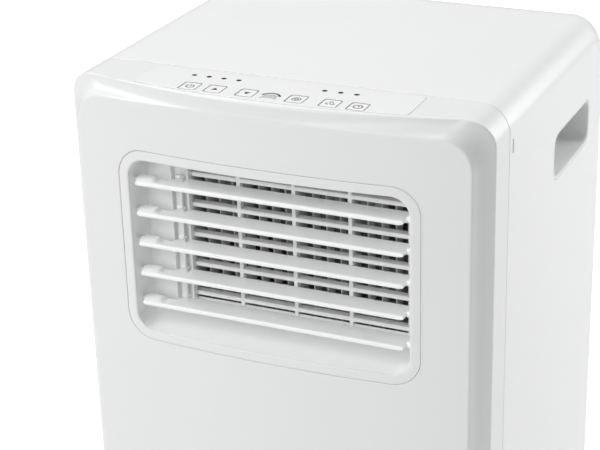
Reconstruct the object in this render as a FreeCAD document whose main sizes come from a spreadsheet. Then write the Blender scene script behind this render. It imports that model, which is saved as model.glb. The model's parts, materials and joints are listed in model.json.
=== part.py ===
import FreeCAD, Part
import math
import os
import re
import Sketcher

# Portable air conditioner.  Millimetres, +Z up, the outlet grille faces -Y, and the
# origin is on the floor under the middle of the machine.

os.makedirs("parts", exist_ok=True)
doc = FreeCAD.newDocument("portable_air_conditioner")
Vector = FreeCAD.Vector
Rotation = FreeCAD.Rotation

SIZES = {
    # cabinet
    "body_width": 305, "body_depth": 328, "body_height": 678,
    "cabinet_depth": 300, "skirt_height": 40, "wall_thickness": 2.5,
    "corner_radius": 20, "shell_depth": 52, "seam_gap": 0.4,
    "rear_top_radius": 50, "rear_side_radius": 25,
    # raised front face
    "face_half_width": 141, "face_bow": 10.4, "face_top_drop": 11.5,
    "band_depth": 25, "brow_drop": 3, "brow_depth": 2.5,
    # outlet grille
    "grille_width": 218.6, "grille_height": 141.5, "grille_drop": 46.5,
    "grille_radius": 20, "grille_rim": 7.5, "grille_depth": 38, "flange_thickness": 4,
    "grid_cell": 41, "grid_start": -73, "grid_pitch": 11.25, "grid_bar": 2.6,
    "grid_thickness": 3.5, "grid_columns": 4, "grid_rows": 11,
    # louvers
    "louver_length": 195, "louver_chord": 18, "louver_thickness": 2.2,
    "louver_tilt": 0, "louver_pitch": 22.5, "louver_drop": 71.7, "louver_setback": 15,
    "nose_radius": 1.7, "pivot_radius": 1.5, "pivot_length": 7.8,
    "crank_offset": 13, "crank_radius": 1, "link_place": -75, "link_width": 4,
    "link_thickness": 4, "arm_width": 2, "arm_gap": 0.5, "arm_end": 0.8, "running_gap": 0.08,
    "vane_pitch": 10, "vane_depth": 12, "vane_thickness": 1.2, "vane_count": 19,
    # controls
    "overlay_width": 198, "overlay_front": 12.6, "overlay_rear": 48, "overlay_bow": 9.6,
    "overlay_thickness": 0.8, "recess_depth": 1, "button_width": 11.2,
    "button_depth": 12.6, "button_row": 15.8, "button_gap": 0.4,
    "cap_height": 3.6, "button_flange": 1.2, "stem_radius": 2.5, "stem_drop": 14.5,
    "lens_radius": 1.5, "lens_row": 37, "board_drop": 20, "board_thickness": 1.6,
    "board_width": 156, "board_depth": 36, "switch_width": 6, "switch_height": 3.1,
    # air path
    "coil_width": 210, "coil_front": 76, "evaporator_depth": 38, "condenser_depth": 42,
    "evaporator_bottom": 460, "evaporator_height": 166,
    "condenser_bottom": 84, "condenser_height": 206,
    "scroll_front": 8, "scroll_step": 7, "scroll_wall": 2, "scroll_start": 69,
    "scroll_neck": 12, "inlet_radius": 52,
    "evaporator_axis_x": 0, "evaporator_axis_z": 545,
    "condenser_axis_x": -42, "condenser_axis_z": 190,
    "wheel_radius": 64, "wheel_width": 44, "wheel_front": 22, "blade_count": 24,
    "blade_length": 14, "blade_thickness": 1.4, "disc_thickness": 2.4,
    "shaft_radius": 4, "hub_radius": 9, "motor_radius": 34, "motor_length": 44,
    "duct_width": 214, "duct_bottom": 488, "duct_height": 150, "duct_front": 56,
    "duct_rear": 118, "tray_width": 270, "tray_bottom": 440, "tray_height": 12,
    "exhaust_height": 370, "exhaust_radius": 66, "exhaust_wall": 4,
    "exhaust_duct_width": 152, "exhaust_duct_bottom": 299,
    # refrigeration
    "compressor_x": 76, "compressor_y": -62, "compressor_radius": 52,
    "compressor_bottom": 60, "compressor_height": 176, "foot_radius": 9,
    "foot_height": 12, "accumulator_y": -88, "accumulator_radius": 20,
    "pipe_radius": 4, "pipe_bend": 14,
    # base tray and castors
    "pan_width": 296, "pan_front": -138, "pan_rear": 126, "pan_corner": 22,
    "pan_bottom": 42, "pan_height": 26, "pan_wall": 3, "socket_radius": 9, "socket_height": 18,
    "castor_x": 112, "castor_front_y": -108, "castor_rear_y": 100,
    "castor_radius": 15, "castor_width": 14, "castor_trail": 8, "castor_stem": 4,
    "fork_wall": 2.5, "fork_gap": 1, "axle_radius": 2, "fork_plate": 14,
    # rear panel
    "inlet_width": 220, "upper_inlet_bottom": 457, "upper_inlet_height": 154,
    "lower_inlet_bottom": 97, "lower_inlet_height": 186, "cover_thickness": 9,
    "cover_border": 7, "slat_pitch": 10, "slat_gap": 6, "mesh_thickness": 2,
    "grip_length": 90, "grip_height": 36, "grip_depth": 27, "grip_bottom": 585,
    "grip_front": -10, "plug_radius": 5, "screw_radius": 1.5,
}

sheet = doc.addObject("Spreadsheet::Sheet", "dims")
for row, (alias, value) in enumerate(SIZES.items(), start=1):
    sheet.set(f"A{row}", alias)
    sheet.set(f"B{row}", str(value))
    sheet.setAlias(f"B{row}", alias)
doc.recompute()


def number(alias):
    return float(getattr(sheet, alias))


def bound(text):
    """Puts the sheet's name before every alias, for setExpression."""
    return re.sub(r"[a-z]+(?:_[a-z]+)+", lambda word: "dims." + word.group(0), str(text))


def bind(feature, **formulas):
    for name, formula in formulas.items():
        feature.setExpression(name, bound(formula))


def place(feature, x, y, z, turn=None):
    if turn:
        feature.Placement = FreeCAD.Placement(Vector(0, 0, 0), turn)
    for axis, formula in zip("xyz", (x, y, z)):
        feature.setExpression("Placement.Base." + axis, bound(formula))
    return feature


def box(name, length, width, height, x, y, z):
    made = doc.addObject("Part::Box", name)
    bind(made, Length=length, Width=width, Height=height)
    return place(made, x, y, z)


ALONG_X = Rotation(Vector(0, 1, 0), 90)
ALONG_Y = Rotation(Vector(1, 0, 0), -90)


def rod(name, radius, length, x, y, z, turn=None):
    made = doc.addObject("Part::Cylinder", name)
    bind(made, Radius=radius, Height=length)
    return place(made, x, y, z, turn)


def cut(name, base, tools):
    together = tools[0]
    if len(tools) > 1:
        together = doc.addObject("Part::Compound", name + "_tools")
        together.Links = tools
    made = doc.addObject("Part::Cut", name)
    made.Base = base
    made.Tool = together
    return made


def fuse(name, pieces):
    made = doc.addObject("Part::MultiFuse", name)
    made.Shapes = pieces
    return made


def group(name, pieces):
    made = doc.addObject("Part::Compound", name)
    made.Links = pieces
    return made


def coded(name, shape):
    made = doc.addObject("Part::Feature", name)
    made.Shape = shape
    return made


def origin_item(body, role):
    return next(item for item in body.Origin.OriginFeatures if item.Role == role)


def outline(body, name, plane, corners):
    """A closed sketch of straight lines; every corner is tied to the sheet by two distances."""
    sketch = body.newObject("Sketcher::SketchObject", name)
    sketch.AttachmentSupport = [(origin_item(body, plane), "")]
    sketch.MapMode = "FlatFace"
    count = len(corners)
    turn = 2 * math.pi / count
    start = [Vector(10 * math.cos(turn * i), 10 * math.sin(turn * i), 0) for i in range(count)]
    for i in range(count):
        sketch.addGeometry(Part.LineSegment(start[i], start[(i + 1) % count]), False)
    for i in range(count):
        sketch.addConstraint(Sketcher.Constraint("Coincident", i, 2, (i + 1) % count, 1))
    for i, (across, up) in enumerate(corners):
        for kind, formula, first in (("DistanceX", across, start[i].x), ("DistanceY", up, start[i].y)):
            index = sketch.addConstraint(Sketcher.Constraint(kind, -1, 1, i, 1, first))
            sketch.setExpression(f"Constraints[{index}]", bound(formula))
    return sketch


def turned(name, plane, axis, corners):
    """A PartDesign body: the outline turned a full circle about one axis of its plane."""
    body = doc.addObject("PartDesign::Body", name)
    sketch = outline(body, name + "_section", plane, corners)
    turning = body.newObject("PartDesign::Revolution", name + "_turning")
    turning.Profile = sketch
    turning.ReferenceAxis = (sketch, [axis])
    turning.Angle = 360
    body.Tip = turning
    return body


def padded(name, plane, corners, length):
    """A PartDesign body: the outline padded by a length."""
    body = doc.addObject("PartDesign::Body", name)
    sketch = outline(body, name + "_section", plane, corners)
    pad = body.newObject("PartDesign::Pad", name + "_pad")
    pad.Profile = sketch
    bind(pad, Length=length)
    body.Tip = pad
    return body


FRONT = -number("body_depth") / 2
TOP = number("body_height")
HALF = number("body_width") / 2
WALL = number("wall_thickness")
SKIRT = number("skirt_height")
SEAM = FRONT + number("shell_depth")
REAR = FRONT + number("cabinet_depth")
BEYOND = 20.0


def wire_face(edges):
    return Part.Face(Part.Wire(Part.__sortEdges__(edges)))


def line(a, b):
    return Part.makeLine(Vector(*a), Vector(*b))


def arc(a, b, c):
    return Part.Arc(Vector(*a), Vector(*b), Vector(*c)).toShape()


def quarter(centre, radius, first, plane):
    """A 90 degree arc from angle first, in the plane of two given axes."""
    points = []
    for step in (0, 45, 90):
        angle = math.radians(first + step)
        across, up = radius * math.cos(angle), radius * math.sin(angle)
        points.append(tuple(centre[i] + across * plane[0][i] + up * plane[1][i] for i in range(3)))
    return arc(*points)


XZ = ((1, 0, 0), (0, 0, 1))
XY = ((1, 0, 0), (0, 1, 0))
YZ = ((0, 1, 0), (0, 0, 1))


def hood_prism(inset, y0, y1):
    """The cabinet's front section, square below and rounded above, along Y."""
    half, top, low = HALF - inset, TOP - inset, SKIRT - (BEYOND if inset else 0)
    radius = number("corner_radius") - inset
    edges = [line((-half, y0, low), (-half, y0, top - radius)),
             quarter((-half + radius, y0, top - radius), radius, 90, XZ),
             line((-half + radius, y0, top), (half - radius, y0, top)),
             quarter((half - radius, y0, top - radius), radius, 0, XZ),
             line((half, y0, top - radius), (half, y0, low)),
             line((half, y0, low), (-half, y0, low))]
    return wire_face(edges).extrude(Vector(0, y1 - y0, 0))


def front_plan_prism(inset, back):
    """The front shell seen from above: bowed face, slanted bands and straight sides."""
    half, face = HALF - inset, number("face_half_width") - inset
    band = FRONT + number("band_depth") + inset / 2
    edge = FRONT + number("face_bow") + inset
    low = SKIRT - BEYOND
    edges = [line((-half, back, low), (-half, band, low)),
             line((-half, band, low), (-face, edge, low)),
             arc((-face, edge, low), (0, FRONT + inset, low), (face, edge, low)),
             line((face, edge, low), (half, band, low)),
             line((half, band, low), (half, back, low)),
             line((half, back, low), (-half, back, low))]
    return wire_face(edges).extrude(Vector(0, 0, TOP + BEYOND - low))


def front_side_prism(inset, back):
    """The front shell seen from the side, with the step down from the brow to the face."""
    low = SKIRT - (BEYOND if inset else 0)
    drop = number("face_top_drop")
    corners = [(FRONT + inset, low), (FRONT + inset, TOP - drop - inset),
               (FRONT + inset + 0.6, TOP - number("brow_drop") - inset),
               (FRONT + inset + number("brow_depth"), TOP - inset), (back, TOP - inset), (back, low)]
    points = [Vector(-HALF - BEYOND, y, z) for y, z in corners]
    face = Part.Face(Part.makePolygon(points + points[:1]))
    return face.extrude(Vector(2 * (HALF + BEYOND), 0, 0))


def rounded_prism(width, height, radius, centre_z, y0, y1):
    """A rounded rectangle facing the front, from y0 to y1."""
    block = Part.makeBox(width, y1 - y0, height, Vector(-width / 2, y0, centre_z - height / 2))
    along = [e for e in block.Edges if abs(e.tangentAt(e.FirstParameter).y) > 0.99]
    return block.makeFillet(radius, along)


def bowed_slab(y0, thickness):
    """A tall slab whose front follows the bow of the front face."""
    face, bow = number("face_half_width"), number("face_bow")
    low = SKIRT
    edges = [arc((-face, y0 + bow, low), (0, y0, low), (face, y0 + bow, low)),
             line((face, y0 + bow, low), (face, y0 + bow + thickness, low)),
             arc((face, y0 + bow + thickness, low), (0, y0 + thickness, low),
                 (-face, y0 + bow + thickness, low)),
             line((-face, y0 + bow + thickness, low), (-face, y0 + bow, low))]
    return wire_face(edges).extrude(Vector(0, 0, TOP - low))


GRILLE_Z = TOP - number("grille_drop") - number("grille_height") / 2
OPENING_WIDTH = number("grille_width") - 2 * number("grille_rim")
OPENING_HEIGHT = number("grille_height") - 2 * number("grille_rim")
OPENING_RADIUS = number("grille_radius") - number("grille_rim")

BUTTONS = {"power": -56.1, "up": -37.8, "down": -14.6, "mode": 20.8, "fan": 44.4, "timer": 63.4}
LENSES = (-63.6, -52.6, -41.6, -30.6, 31.4, 42.7, 54)
BUTTON_Y = FRONT + number("button_row")
LENS_Y = FRONT + number("lens_row")


def control_windows(gap, bottom, top):
    """Rectangular holes for the buttons and round ones for the lenses."""
    width, depth = number("button_width") + 2 * gap, number("button_depth") + 2 * gap
    holes = []
    for x in BUTTONS.values():
        corner = Vector(x - width / 2, BUTTON_Y - depth / 2, bottom)
        holes.append(Part.makeBox(width, depth, top - bottom, corner))
    for x in LENSES:
        holes.append(Part.makeCylinder(number("lens_radius") + gap / 2, top - bottom,
                                       Vector(x, LENS_Y, bottom)))
    return holes


def overlay_face(grow, z):
    half = number("overlay_width") / 2 + grow
    front = FRONT + number("overlay_front") - grow
    rear = FRONT + number("overlay_rear") + grow
    edges = [line((-half, rear, z), (-half, front, z)),
             arc((-half, front, z), (0, front - number("overlay_bow"), z), (half, front, z)),
             line((half, front, z), (half, rear, z)), line((half, rear, z), (-half, rear, z))]
    return wire_face(edges)


# The front shell: one thin moulding with the bowed face, open behind and below.
back = SEAM - number("seam_gap")
shell = hood_prism(0, FRONT, back).common(front_plan_prism(0, back))
shell = shell.common(front_side_prism(0, back))
inner = hood_prism(WALL, FRONT, back + BEYOND).common(front_plan_prism(WALL, back + BEYOND))
inner = inner.common(front_side_prism(WALL, back + BEYOND))
window = rounded_prism(number("grille_width") + 0.6, number("grille_height") + 0.6,
                       number("grille_radius"), GRILLE_Z, FRONT - BEYOND, FRONT + BEYOND)
recess = overlay_face(0.2, TOP - number("recess_depth")).extrude(Vector(0, 0, BEYOND))
holes = control_windows(number("button_gap"), TOP - 2 * BEYOND, TOP + BEYOND)
front_shell = coded("front_shell", shell.cut([inner, window, recess] + holes))

# The control overlay: a thin film let into the top, with a window for every button and lens.
film = overlay_face(0, TOP - number("recess_depth")).extrude(Vector(0, 0, number("overlay_thickness")))
control_overlay = coded("control_overlay", film.cut(
    control_windows(number("button_gap"), TOP - BEYOND, TOP + BEYOND)))

# Buttons: a cap with a flange under the shell and a stem that stands over its switch.
buttons = []
for use, x in BUTTONS.items():
    name = "button_" + use
    cap = box(name + "_cap", "button_width", "button_depth", "cap_height",
              f"{x} - button_width / 2", "-body_depth / 2 + button_row - button_depth / 2",
              "body_height - cap_height - 0.1")
    flange = box(name + "_flange", "button_width + 2 * button_flange",
                 "button_depth + 2 * button_flange", 1,
                 f"{x} - button_width / 2 - button_flange",
                 "-body_depth / 2 + button_row - button_depth / 2 - button_flange",
                 "body_height - cap_height - 0.6")
    stem = rod(name + "_stem", "stem_radius", "stem_drop - cap_height",
               x, "-body_depth / 2 + button_row", "body_height - stem_drop")
    buttons.append(fuse(name, [cap, flange, stem]))

# Indicator lenses, and the control board with one switch under every button.
lens_rods = [rod(f"lens_{i}", "lens_radius", 4, x, "-body_depth / 2 + lens_row", "body_height - 4.2")
             for i, x in enumerate(LENSES)]
led_lenses = group("led_lenses", lens_rods)
board = box("board_plate", "board_width", "board_depth", "board_thickness", "-board_width / 2",
            "-body_depth / 2 + 9", "body_height - board_drop")
switches = [box(f"switch_{use}", "switch_width", "switch_width", "switch_height",
                f"{x} - switch_width / 2", "-body_depth / 2 + button_row - switch_width / 2",
                "body_height - board_drop + board_thickness")
            for use, x in BUTTONS.items()]
posts = [rod(f"board_post_{i}", 3, "board_drop - board_thickness - wall_thickness",
             x, "-body_depth / 2 + 41", "body_height - board_drop + board_thickness")
         for i, x in enumerate((-74, 0, 74))]
control_board = fuse("control_board", [board] + switches + posts)

# The outlet grille: flange flush with the face, a box behind it and a grid at the back.
box_front = FRONT + 0.5
box_rear = FRONT + number("grille_depth")
flange = rounded_prism(number("grille_width"), number("grille_height"), number("grille_radius"),
                       GRILLE_Z, FRONT, FRONT + BEYOND).common(
    bowed_slab(FRONT, number("flange_thickness")))
tunnel = rounded_prism(OPENING_WIDTH + 2 * WALL, OPENING_HEIGHT + 2 * WALL, OPENING_RADIUS + WALL,
                       GRILLE_Z, box_front, box_rear)
tunnel = tunnel.cut(bowed_slab(FRONT - 2 * BEYOND, 2 * BEYOND))
hollow = rounded_prism(OPENING_WIDTH, OPENING_HEIGHT, OPENING_RADIUS, GRILLE_Z, FRONT - BEYOND,
                       box_rear - number("grid_thickness"))
slots = []
slot_width = number("grid_cell") - number("grid_bar")
slot_height = number("grid_pitch") - number("grid_bar")
grid_top = GRILLE_Z + number("grid_rows") * number("grid_pitch") / 2
for column in range(int(number("grid_columns"))):
    x = number("grid_start") + column * number("grid_cell") + number("grid_bar") / 2
    for row in range(int(number("grid_rows"))):
        z = grid_top - (row + 1) * number("grid_pitch") + number("grid_bar") / 2
        slots.append(Part.makeBox(slot_width, BEYOND, slot_height, Vector(x, box_rear - 8, z)))
pivots = []
pivot_y = FRONT + number("louver_setback")
for i in range(5):
    z = TOP - number("louver_drop") - i * number("louver_pitch")
    pivots.append(Part.makeCylinder(number("pivot_radius") + number("running_gap"),
                                    number("grille_width"),
                                    Vector(-number("grille_width") / 2, pivot_y, z), Vector(1, 0, 0)))
grille = flange.fuse(tunnel).cut([hollow] + slots + pivots)
outlet_grille = coded("outlet_grille", grille)

# Five louvers on one row of pivots.  Each is drawn flat about its own pivot, then tilted.
louvers = []
for i in range(5):
    name = f"louver_{i + 1}"
    blade = box(name + "_blade", "louver_length", "louver_chord", "louver_thickness",
                "-louver_length / 2", "-louver_chord / 2", "-louver_thickness / 2")
    nose = rod(name + "_nose", "nose_radius", "louver_length", "-louver_length / 2",
               "-louver_chord / 2 + 1", 0, ALONG_X)
    arm = box(name + "_arm", "arm_width", "crank_offset + arm_end", "2 * crank_radius",
              "link_place + link_thickness / 2 + arm_gap", 0, "-crank_radius")
    left = rod(name + "_left_pin", "pivot_radius", "pivot_length", "-louver_length / 2 - 6.3", 0, 0,
               ALONG_X)
    right = rod(name + "_right_pin", "pivot_radius", "pivot_length",
                "louver_length / 2 + 6.3 - pivot_length", 0, 0, ALONG_X)
    crank = rod(name + "_crank", "crank_radius", "link_thickness + 3 * arm_gap",
                "link_place - link_thickness / 2 - arm_gap", "crank_offset", 0, ALONG_X)
    louver = fuse(name, [blade, nose, left, right, arm, crank])
    tilt = Rotation(Vector(1, 0, 0), number("louver_tilt"))
    louvers.append(place(louver, 0, "-body_depth / 2 + louver_setback",
                         f"body_height - louver_drop - {i} * louver_pitch", tilt))

# The link that ties the five cranks together.
CRANK_Y = "-body_depth / 2 + louver_setback + crank_offset * cos(louver_tilt * 1 deg)"
CRANK_Z = "body_height - louver_drop + crank_offset * sin(louver_tilt * 1 deg)"
bar = box("link_bar", "link_thickness", "link_width", "4 * louver_pitch",
          "link_place - link_thickness / 2", CRANK_Y + " - link_width / 2",
          CRANK_Z + " - 4 * louver_pitch")
eyes = [rod(f"link_eye_{i}", "link_width / 2", "link_thickness", "link_place - link_thickness / 2",
            CRANK_Y, CRANK_Z + f" - {i} * louver_pitch", ALONG_X) for i in (0, 4)]
eye_holes = [rod(f"link_hole_{i}", "crank_radius + running_gap", "2 * link_thickness",
                 "link_place - link_thickness", CRANK_Y, CRANK_Z + f" - {i} * louver_pitch", ALONG_X)
             for i in range(5)]
louver_link = cut("louver_link", fuse("link_solid", [bar] + eyes), eye_holes)

# Fixed upright vanes behind the grid.
vane_y = "-body_depth / 2 + grille_depth + 0.5"
vanes = [box(f"vane_{i}", "vane_thickness", "vane_depth", 124,
             f"({i} - (vane_count - 1) / 2) * vane_pitch - vane_thickness / 2", vane_y,
             "body_height - grille_drop - grille_height / 2 - 62")
         for i in range(int(number("vane_count")))]
rails = [box(f"vane_rail_{i}", "vane_count * vane_pitch + 6", "vane_depth", 2,
             "-(vane_count * vane_pitch + 6) / 2", vane_y,
             f"body_height - grille_drop - grille_height / 2 + {z}") for i, z in enumerate((-63, 61))]
vertical_vanes = fuse("vertical_vanes", vanes + rails)


# The rear housing: top, both sides and back in one moulding.
def cabinet_prism(inset):
    """The rear housing's solid: hood section, rounded rear top edge and rear upright edges."""
    low = SKIRT - (BEYOND if inset else 0)
    start = SEAM - (BEYOND if inset else 0)
    rear, top, half = REAR - inset, TOP - inset, HALF - inset
    bend = number("rear_top_radius") - inset
    side = number("rear_side_radius") - inset
    x0 = -HALF - BEYOND
    upright = [line((x0, start, low), (x0, start, top)), line((x0, start, top), (x0, rear - bend, top)),
               quarter((x0, rear - bend, top - bend), bend, 0, YZ),
               line((x0, rear, top - bend), (x0, rear, low)), line((x0, rear, low), (x0, start, low))]
    plan = [line((-half, start, low), (half, start, low)), line((half, start, low), (half, rear - side, low)),
            quarter((half - side, rear - side, low), side, 0, XY),
            line((half - side, rear, low), (-half + side, rear, low)),
            quarter((-half + side, rear - side, low), side, 90, XY),
            line((-half, rear - side, low), (-half, start, low))]
    profile = wire_face(upright).extrude(Vector(2 * (HALF + BEYOND), 0, 0))
    column = wire_face(plan).extrude(Vector(0, 0, TOP + BEYOND - low))
    return hood_prism(inset, start, REAR + BEYOND).common(profile).common(column)


def rear_hole(x, z, radius):
    return Part.makeCylinder(radius, 2 * BEYOND, Vector(x, REAR - BEYOND, z), Vector(0, 1, 0))


def rear_window(bottom, height):
    width = number("inlet_width")
    return Part.makeBox(width, 2 * BEYOND, height, Vector(-width / 2, REAR - BEYOND, bottom))


PLUG_PLACES = ((105, 424), (105, 70))
CORD_PLACE = (-106, 330)
SCREW_PLACES = [(x, z) for x in (-123.5, 123.5) for z in (78, 330, 600)]
openings = [rear_window(number("upper_inlet_bottom"), number("upper_inlet_height")),
            rear_window(number("lower_inlet_bottom"), number("lower_inlet_height")),
            rear_hole(0, number("exhaust_height"), number("exhaust_radius") + number("exhaust_wall") + 0.4),
            rear_hole(*CORD_PLACE, 9.2)]
openings += [rear_hole(x, z, number("plug_radius") + 0.2) for x, z in PLUG_PLACES]
openings += [rear_hole(x, z, number("screw_radius")) for x, z in SCREW_PLACES]
for side in (-1, 1):
    corner = Vector(side * HALF - BEYOND, number("grip_front"), number("grip_bottom"))
    openings.append(Part.makeBox(2 * BEYOND, number("grip_length"), number("grip_height"), corner))
    latch = Vector(side * HALF - BEYOND, FRONT + 58.2, TOP - 34.5)
    openings.append(Part.makeBox(2 * BEYOND, 1.6, 8.5, latch))
rear_housing = coded("rear_housing", cabinet_prism(0).cut([cabinet_prism(WALL)] + openings))

# Side grips: a cup let into each side for the fingers.
grips = []
for label, outer_x, inner_x in (("left", "-body_width / 2", "-body_width / 2 - 1"),
                                ("right", "body_width / 2 - grip_depth",
                                 "body_width / 2 - grip_depth + wall_thickness")):
    cup = box(label + "_cup", "grip_depth", "grip_length - 0.4", "grip_height - 0.4", outer_x,
              "grip_front + 0.2", "grip_bottom + 0.2")
    well = box(label + "_well", "grip_depth - wall_thickness + 1", "grip_length - 2 * wall_thickness",
               "grip_height - 2 * wall_thickness", inner_x, "grip_front + wall_thickness",
               "grip_bottom + wall_thickness")
    grips.append(cut(label + "_grip", cup, [well]))
side_grips = group("side_grips", grips)


# Rear covers with their filters behind the slats.
def filter_cover(name, bottom, height):
    plate = box(name + "_plate", "inlet_width + 2 * cover_border", "cover_thickness",
                f"{height} + 2 * cover_border", "-inlet_width / 2 - cover_border",
                "-body_depth / 2 + cabinet_depth + 0.3", f"{bottom} - cover_border")
    rows = int((number(height) - 2) // number("slat_pitch"))
    gaps = []
    for i in range(rows):
        for j, x in enumerate(("-inlet_width / 2 + 4", "3")):
            gaps.append(box(f"{name}_gap_{i}_{j}", "inlet_width / 2 - 7", 30, "slat_gap", x,
                            "-body_depth / 2 + cabinet_depth - 10",
                            f"{bottom} + ({height} - {rows} * slat_pitch) / 2 + 2 + {i} * slat_pitch"))
    return cut(name, plate, gaps)


def filter_mesh(name, bottom, height):
    sheet_box = box(name + "_sheet", "inlet_width - 2", "mesh_thickness", f"{height} - 2",
                    "-inlet_width / 2 + 1", "-body_depth / 2 + cabinet_depth - mesh_thickness + 0.3",
                    f"{bottom} + 1")
    return group(name, [sheet_box])


upper_filter_cover = filter_cover("upper_filter_cover", "upper_inlet_bottom", "upper_inlet_height")
lower_filter_cover = filter_cover("lower_filter_cover", "lower_inlet_bottom", "lower_inlet_height")
upper_filter_mesh = filter_mesh("upper_filter_mesh", "upper_inlet_bottom", "upper_inlet_height")
lower_filter_mesh = filter_mesh("lower_filter_mesh", "lower_inlet_bottom", "lower_inlet_height")

# Exhaust collar, drain plugs, cord inlet: turned pieces whose axis runs along Y.
exhaust_collar = turned("exhaust_collar", "XY_Plane", "V_Axis", [
    ("exhaust_radius", "-3"), ("exhaust_radius", "body_depth - cabinet_depth"),
    ("exhaust_radius + exhaust_wall", "body_depth - cabinet_depth"),
    ("exhaust_radius + exhaust_wall", "3.3"), ("exhaust_radius + exhaust_wall + 5", "3.3"),
    ("exhaust_radius + exhaust_wall + 5", "0.3"), ("exhaust_radius + exhaust_wall", "0.3"),
    ("exhaust_radius + exhaust_wall", "-3")])
place(exhaust_collar, 0, "-body_depth / 2 + cabinet_depth", "exhaust_height")
drain_plugs = []
for name, (x, z) in zip(("upper_drain_plug", "lower_drain_plug"), PLUG_PLACES):
    plug = turned(name, "XY_Plane", "V_Axis", [
        ("0 * plug_radius", "-9"), ("plug_radius", "-9"), ("plug_radius", "0.3"),
        ("plug_radius + 4", "0.3"), ("plug_radius + 4", "4"), ("0 * plug_radius", "5")])
    drain_plugs.append(place(plug, x, "-body_depth / 2 + cabinet_depth", z))
cord_inlet = turned("cord_inlet", "XY_Plane", "V_Axis", [
    ("foot_radius - 4.5", "-6"), ("foot_radius - 4.5", "7"), ("foot_radius - 2.5", "7"),
    ("foot_radius + 3", "3"), ("foot_radius + 3", "0.3"), ("foot_radius", "0.3"),
    ("foot_radius", "-6")])
place(cord_inlet, CORD_PLACE[0], "-body_depth / 2 + cabinet_depth", CORD_PLACE[1])

hooks = []
for label, z, tip in (("upper", 418, 8), ("lower", 372, -16)):
    arm = box(label + "_arm", 14, 20, 4, -117, "-body_depth / 2 + cabinet_depth + 0.3", z)
    lip = box(label + "_lip", 14, 4, 20, -117, "-body_depth / 2 + cabinet_depth + 16.3",
              z if tip > 0 else z - 16)
    hooks.append(fuse(label + "_hook", [arm, lip]))
cord_hooks = group("cord_hooks", hooks)

screws = []
for i, (x, z) in enumerate(SCREW_PLACES):
    screw = turned(f"screw_{i}", "XY_Plane", "V_Axis", [
        ("0 * screw_radius", "-8"), ("screw_radius - 0.02", "-8"), ("screw_radius - 0.02", "0"),
        ("2 * screw_radius", "0"), ("2 * screw_radius - 0.8", "1.8"), ("0 * screw_radius", "2")])
    screws.append(place(screw, x, "-body_depth / 2 + cabinet_depth", z))
housing_screws = group("housing_screws", screws)


# Coils: a block of fins between two end plates, with the return bends outside.
def coil(name, bottom, height, depth):
    fins = box(name + "_fins", "coil_width", depth, height, "-coil_width / 2", "coil_front", bottom)
    plates = [box(f"{name}_plate_{i}", 2, f"{depth} - 1", f"{height}", x, "coil_front + 0.5", bottom)
              for i, x in enumerate(("-coil_width / 2 - 2", "coil_width / 2"))]
    count = int(number(height) // 40)
    bends = []
    for i in range(count):
        for side, x in (("left", "-coil_width / 2 - 8"), ("right", "coil_width / 2 + 2")):
            bends.append(box(f"{name}_{side}_bend_{i}", 6, 8, 24, x, f"coil_front + {depth} / 2 - 4",
                             f"{bottom} + 10 + {i} * 40"))
    return fuse(name, [fins] + plates + bends)


evaporator_coil = coil("evaporator_coil", "evaporator_bottom", "evaporator_height", "evaporator_depth")
condenser_coil = coil("condenser_coil", "condenser_bottom", "condenser_height", "condenser_depth")


# Blowers: a bladed wheel on its own shaft, a motor in front, and a volute round the wheel.
def blower_wheel(name, x, z):
    body = doc.addObject("PartDesign::Body", name)
    hub = outline(body, name + "_hub_section", "XY_Plane", [
        ("shaft_radius + 0.02", "0 * wheel_width"), ("wheel_radius", "0 * wheel_width"),
        ("wheel_radius", "disc_thickness"), ("hub_radius", "disc_thickness"),
        ("hub_radius", "wheel_width / 2"), ("shaft_radius + 0.02", "wheel_width / 2")])
    disc = body.newObject("PartDesign::Revolution", name + "_disc")
    disc.Profile = hub
    disc.ReferenceAxis = (hub, ["V_Axis"])
    disc.Angle = 360
    section = outline(body, name + "_blade_section", "XY_Plane", [
        ("wheel_radius - blade_length", "disc_thickness - 1"), ("wheel_radius - 0.5", "disc_thickness - 1"),
        ("wheel_radius - 0.5", "wheel_width - 1"), ("wheel_radius - blade_length", "wheel_width - 1")])
    blade = body.newObject("PartDesign::Pad", name + "_blade")
    blade.Profile = section
    blade.Midplane = True
    bind(blade, Length="blade_thickness")
    blades = body.newObject("PartDesign::PolarPattern", name + "_blades")
    blades.Originals = [blade]
    blades.Axis = (hub, ["V_Axis"])
    blades.Angle = 360
    bind(blades, Occurrences="blade_count")
    rim = outline(body, name + "_rim_section", "XY_Plane", [
        ("wheel_radius - 4", "wheel_width - 3"), ("wheel_radius", "wheel_width - 3"),
        ("wheel_radius", "wheel_width"), ("wheel_radius - 4", "wheel_width")])
    ring = body.newObject("PartDesign::Revolution", name + "_ring")
    ring.Profile = rim
    ring.ReferenceAxis = (rim, ["V_Axis"])
    ring.Angle = 360
    body.Tip = ring
    return place(body, x, "wheel_front", z)


def blower_motor(name, x, z):
    motor = turned(name, "XY_Plane", "V_Axis", [
        ("shaft_radius + running_gap", "0 * motor_length"), ("motor_radius - 6", "0 * motor_length"),
        ("motor_radius", "6"), ("motor_radius", "motor_length - 3"), ("motor_radius + 8", "motor_length - 3"),
        ("motor_radius + 8", "motor_length"), ("shaft_radius + running_gap", "motor_length")])
    return place(motor, x, "scroll_front - motor_length", z)


def blower_shaft(name, x, z):
    return group(name, [rod(name + "_rod", "shaft_radius", "motor_length + wheel_front - scroll_front + 14",
                            x, "scroll_front - motor_length + 4", z, ALONG_Y)])


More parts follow.
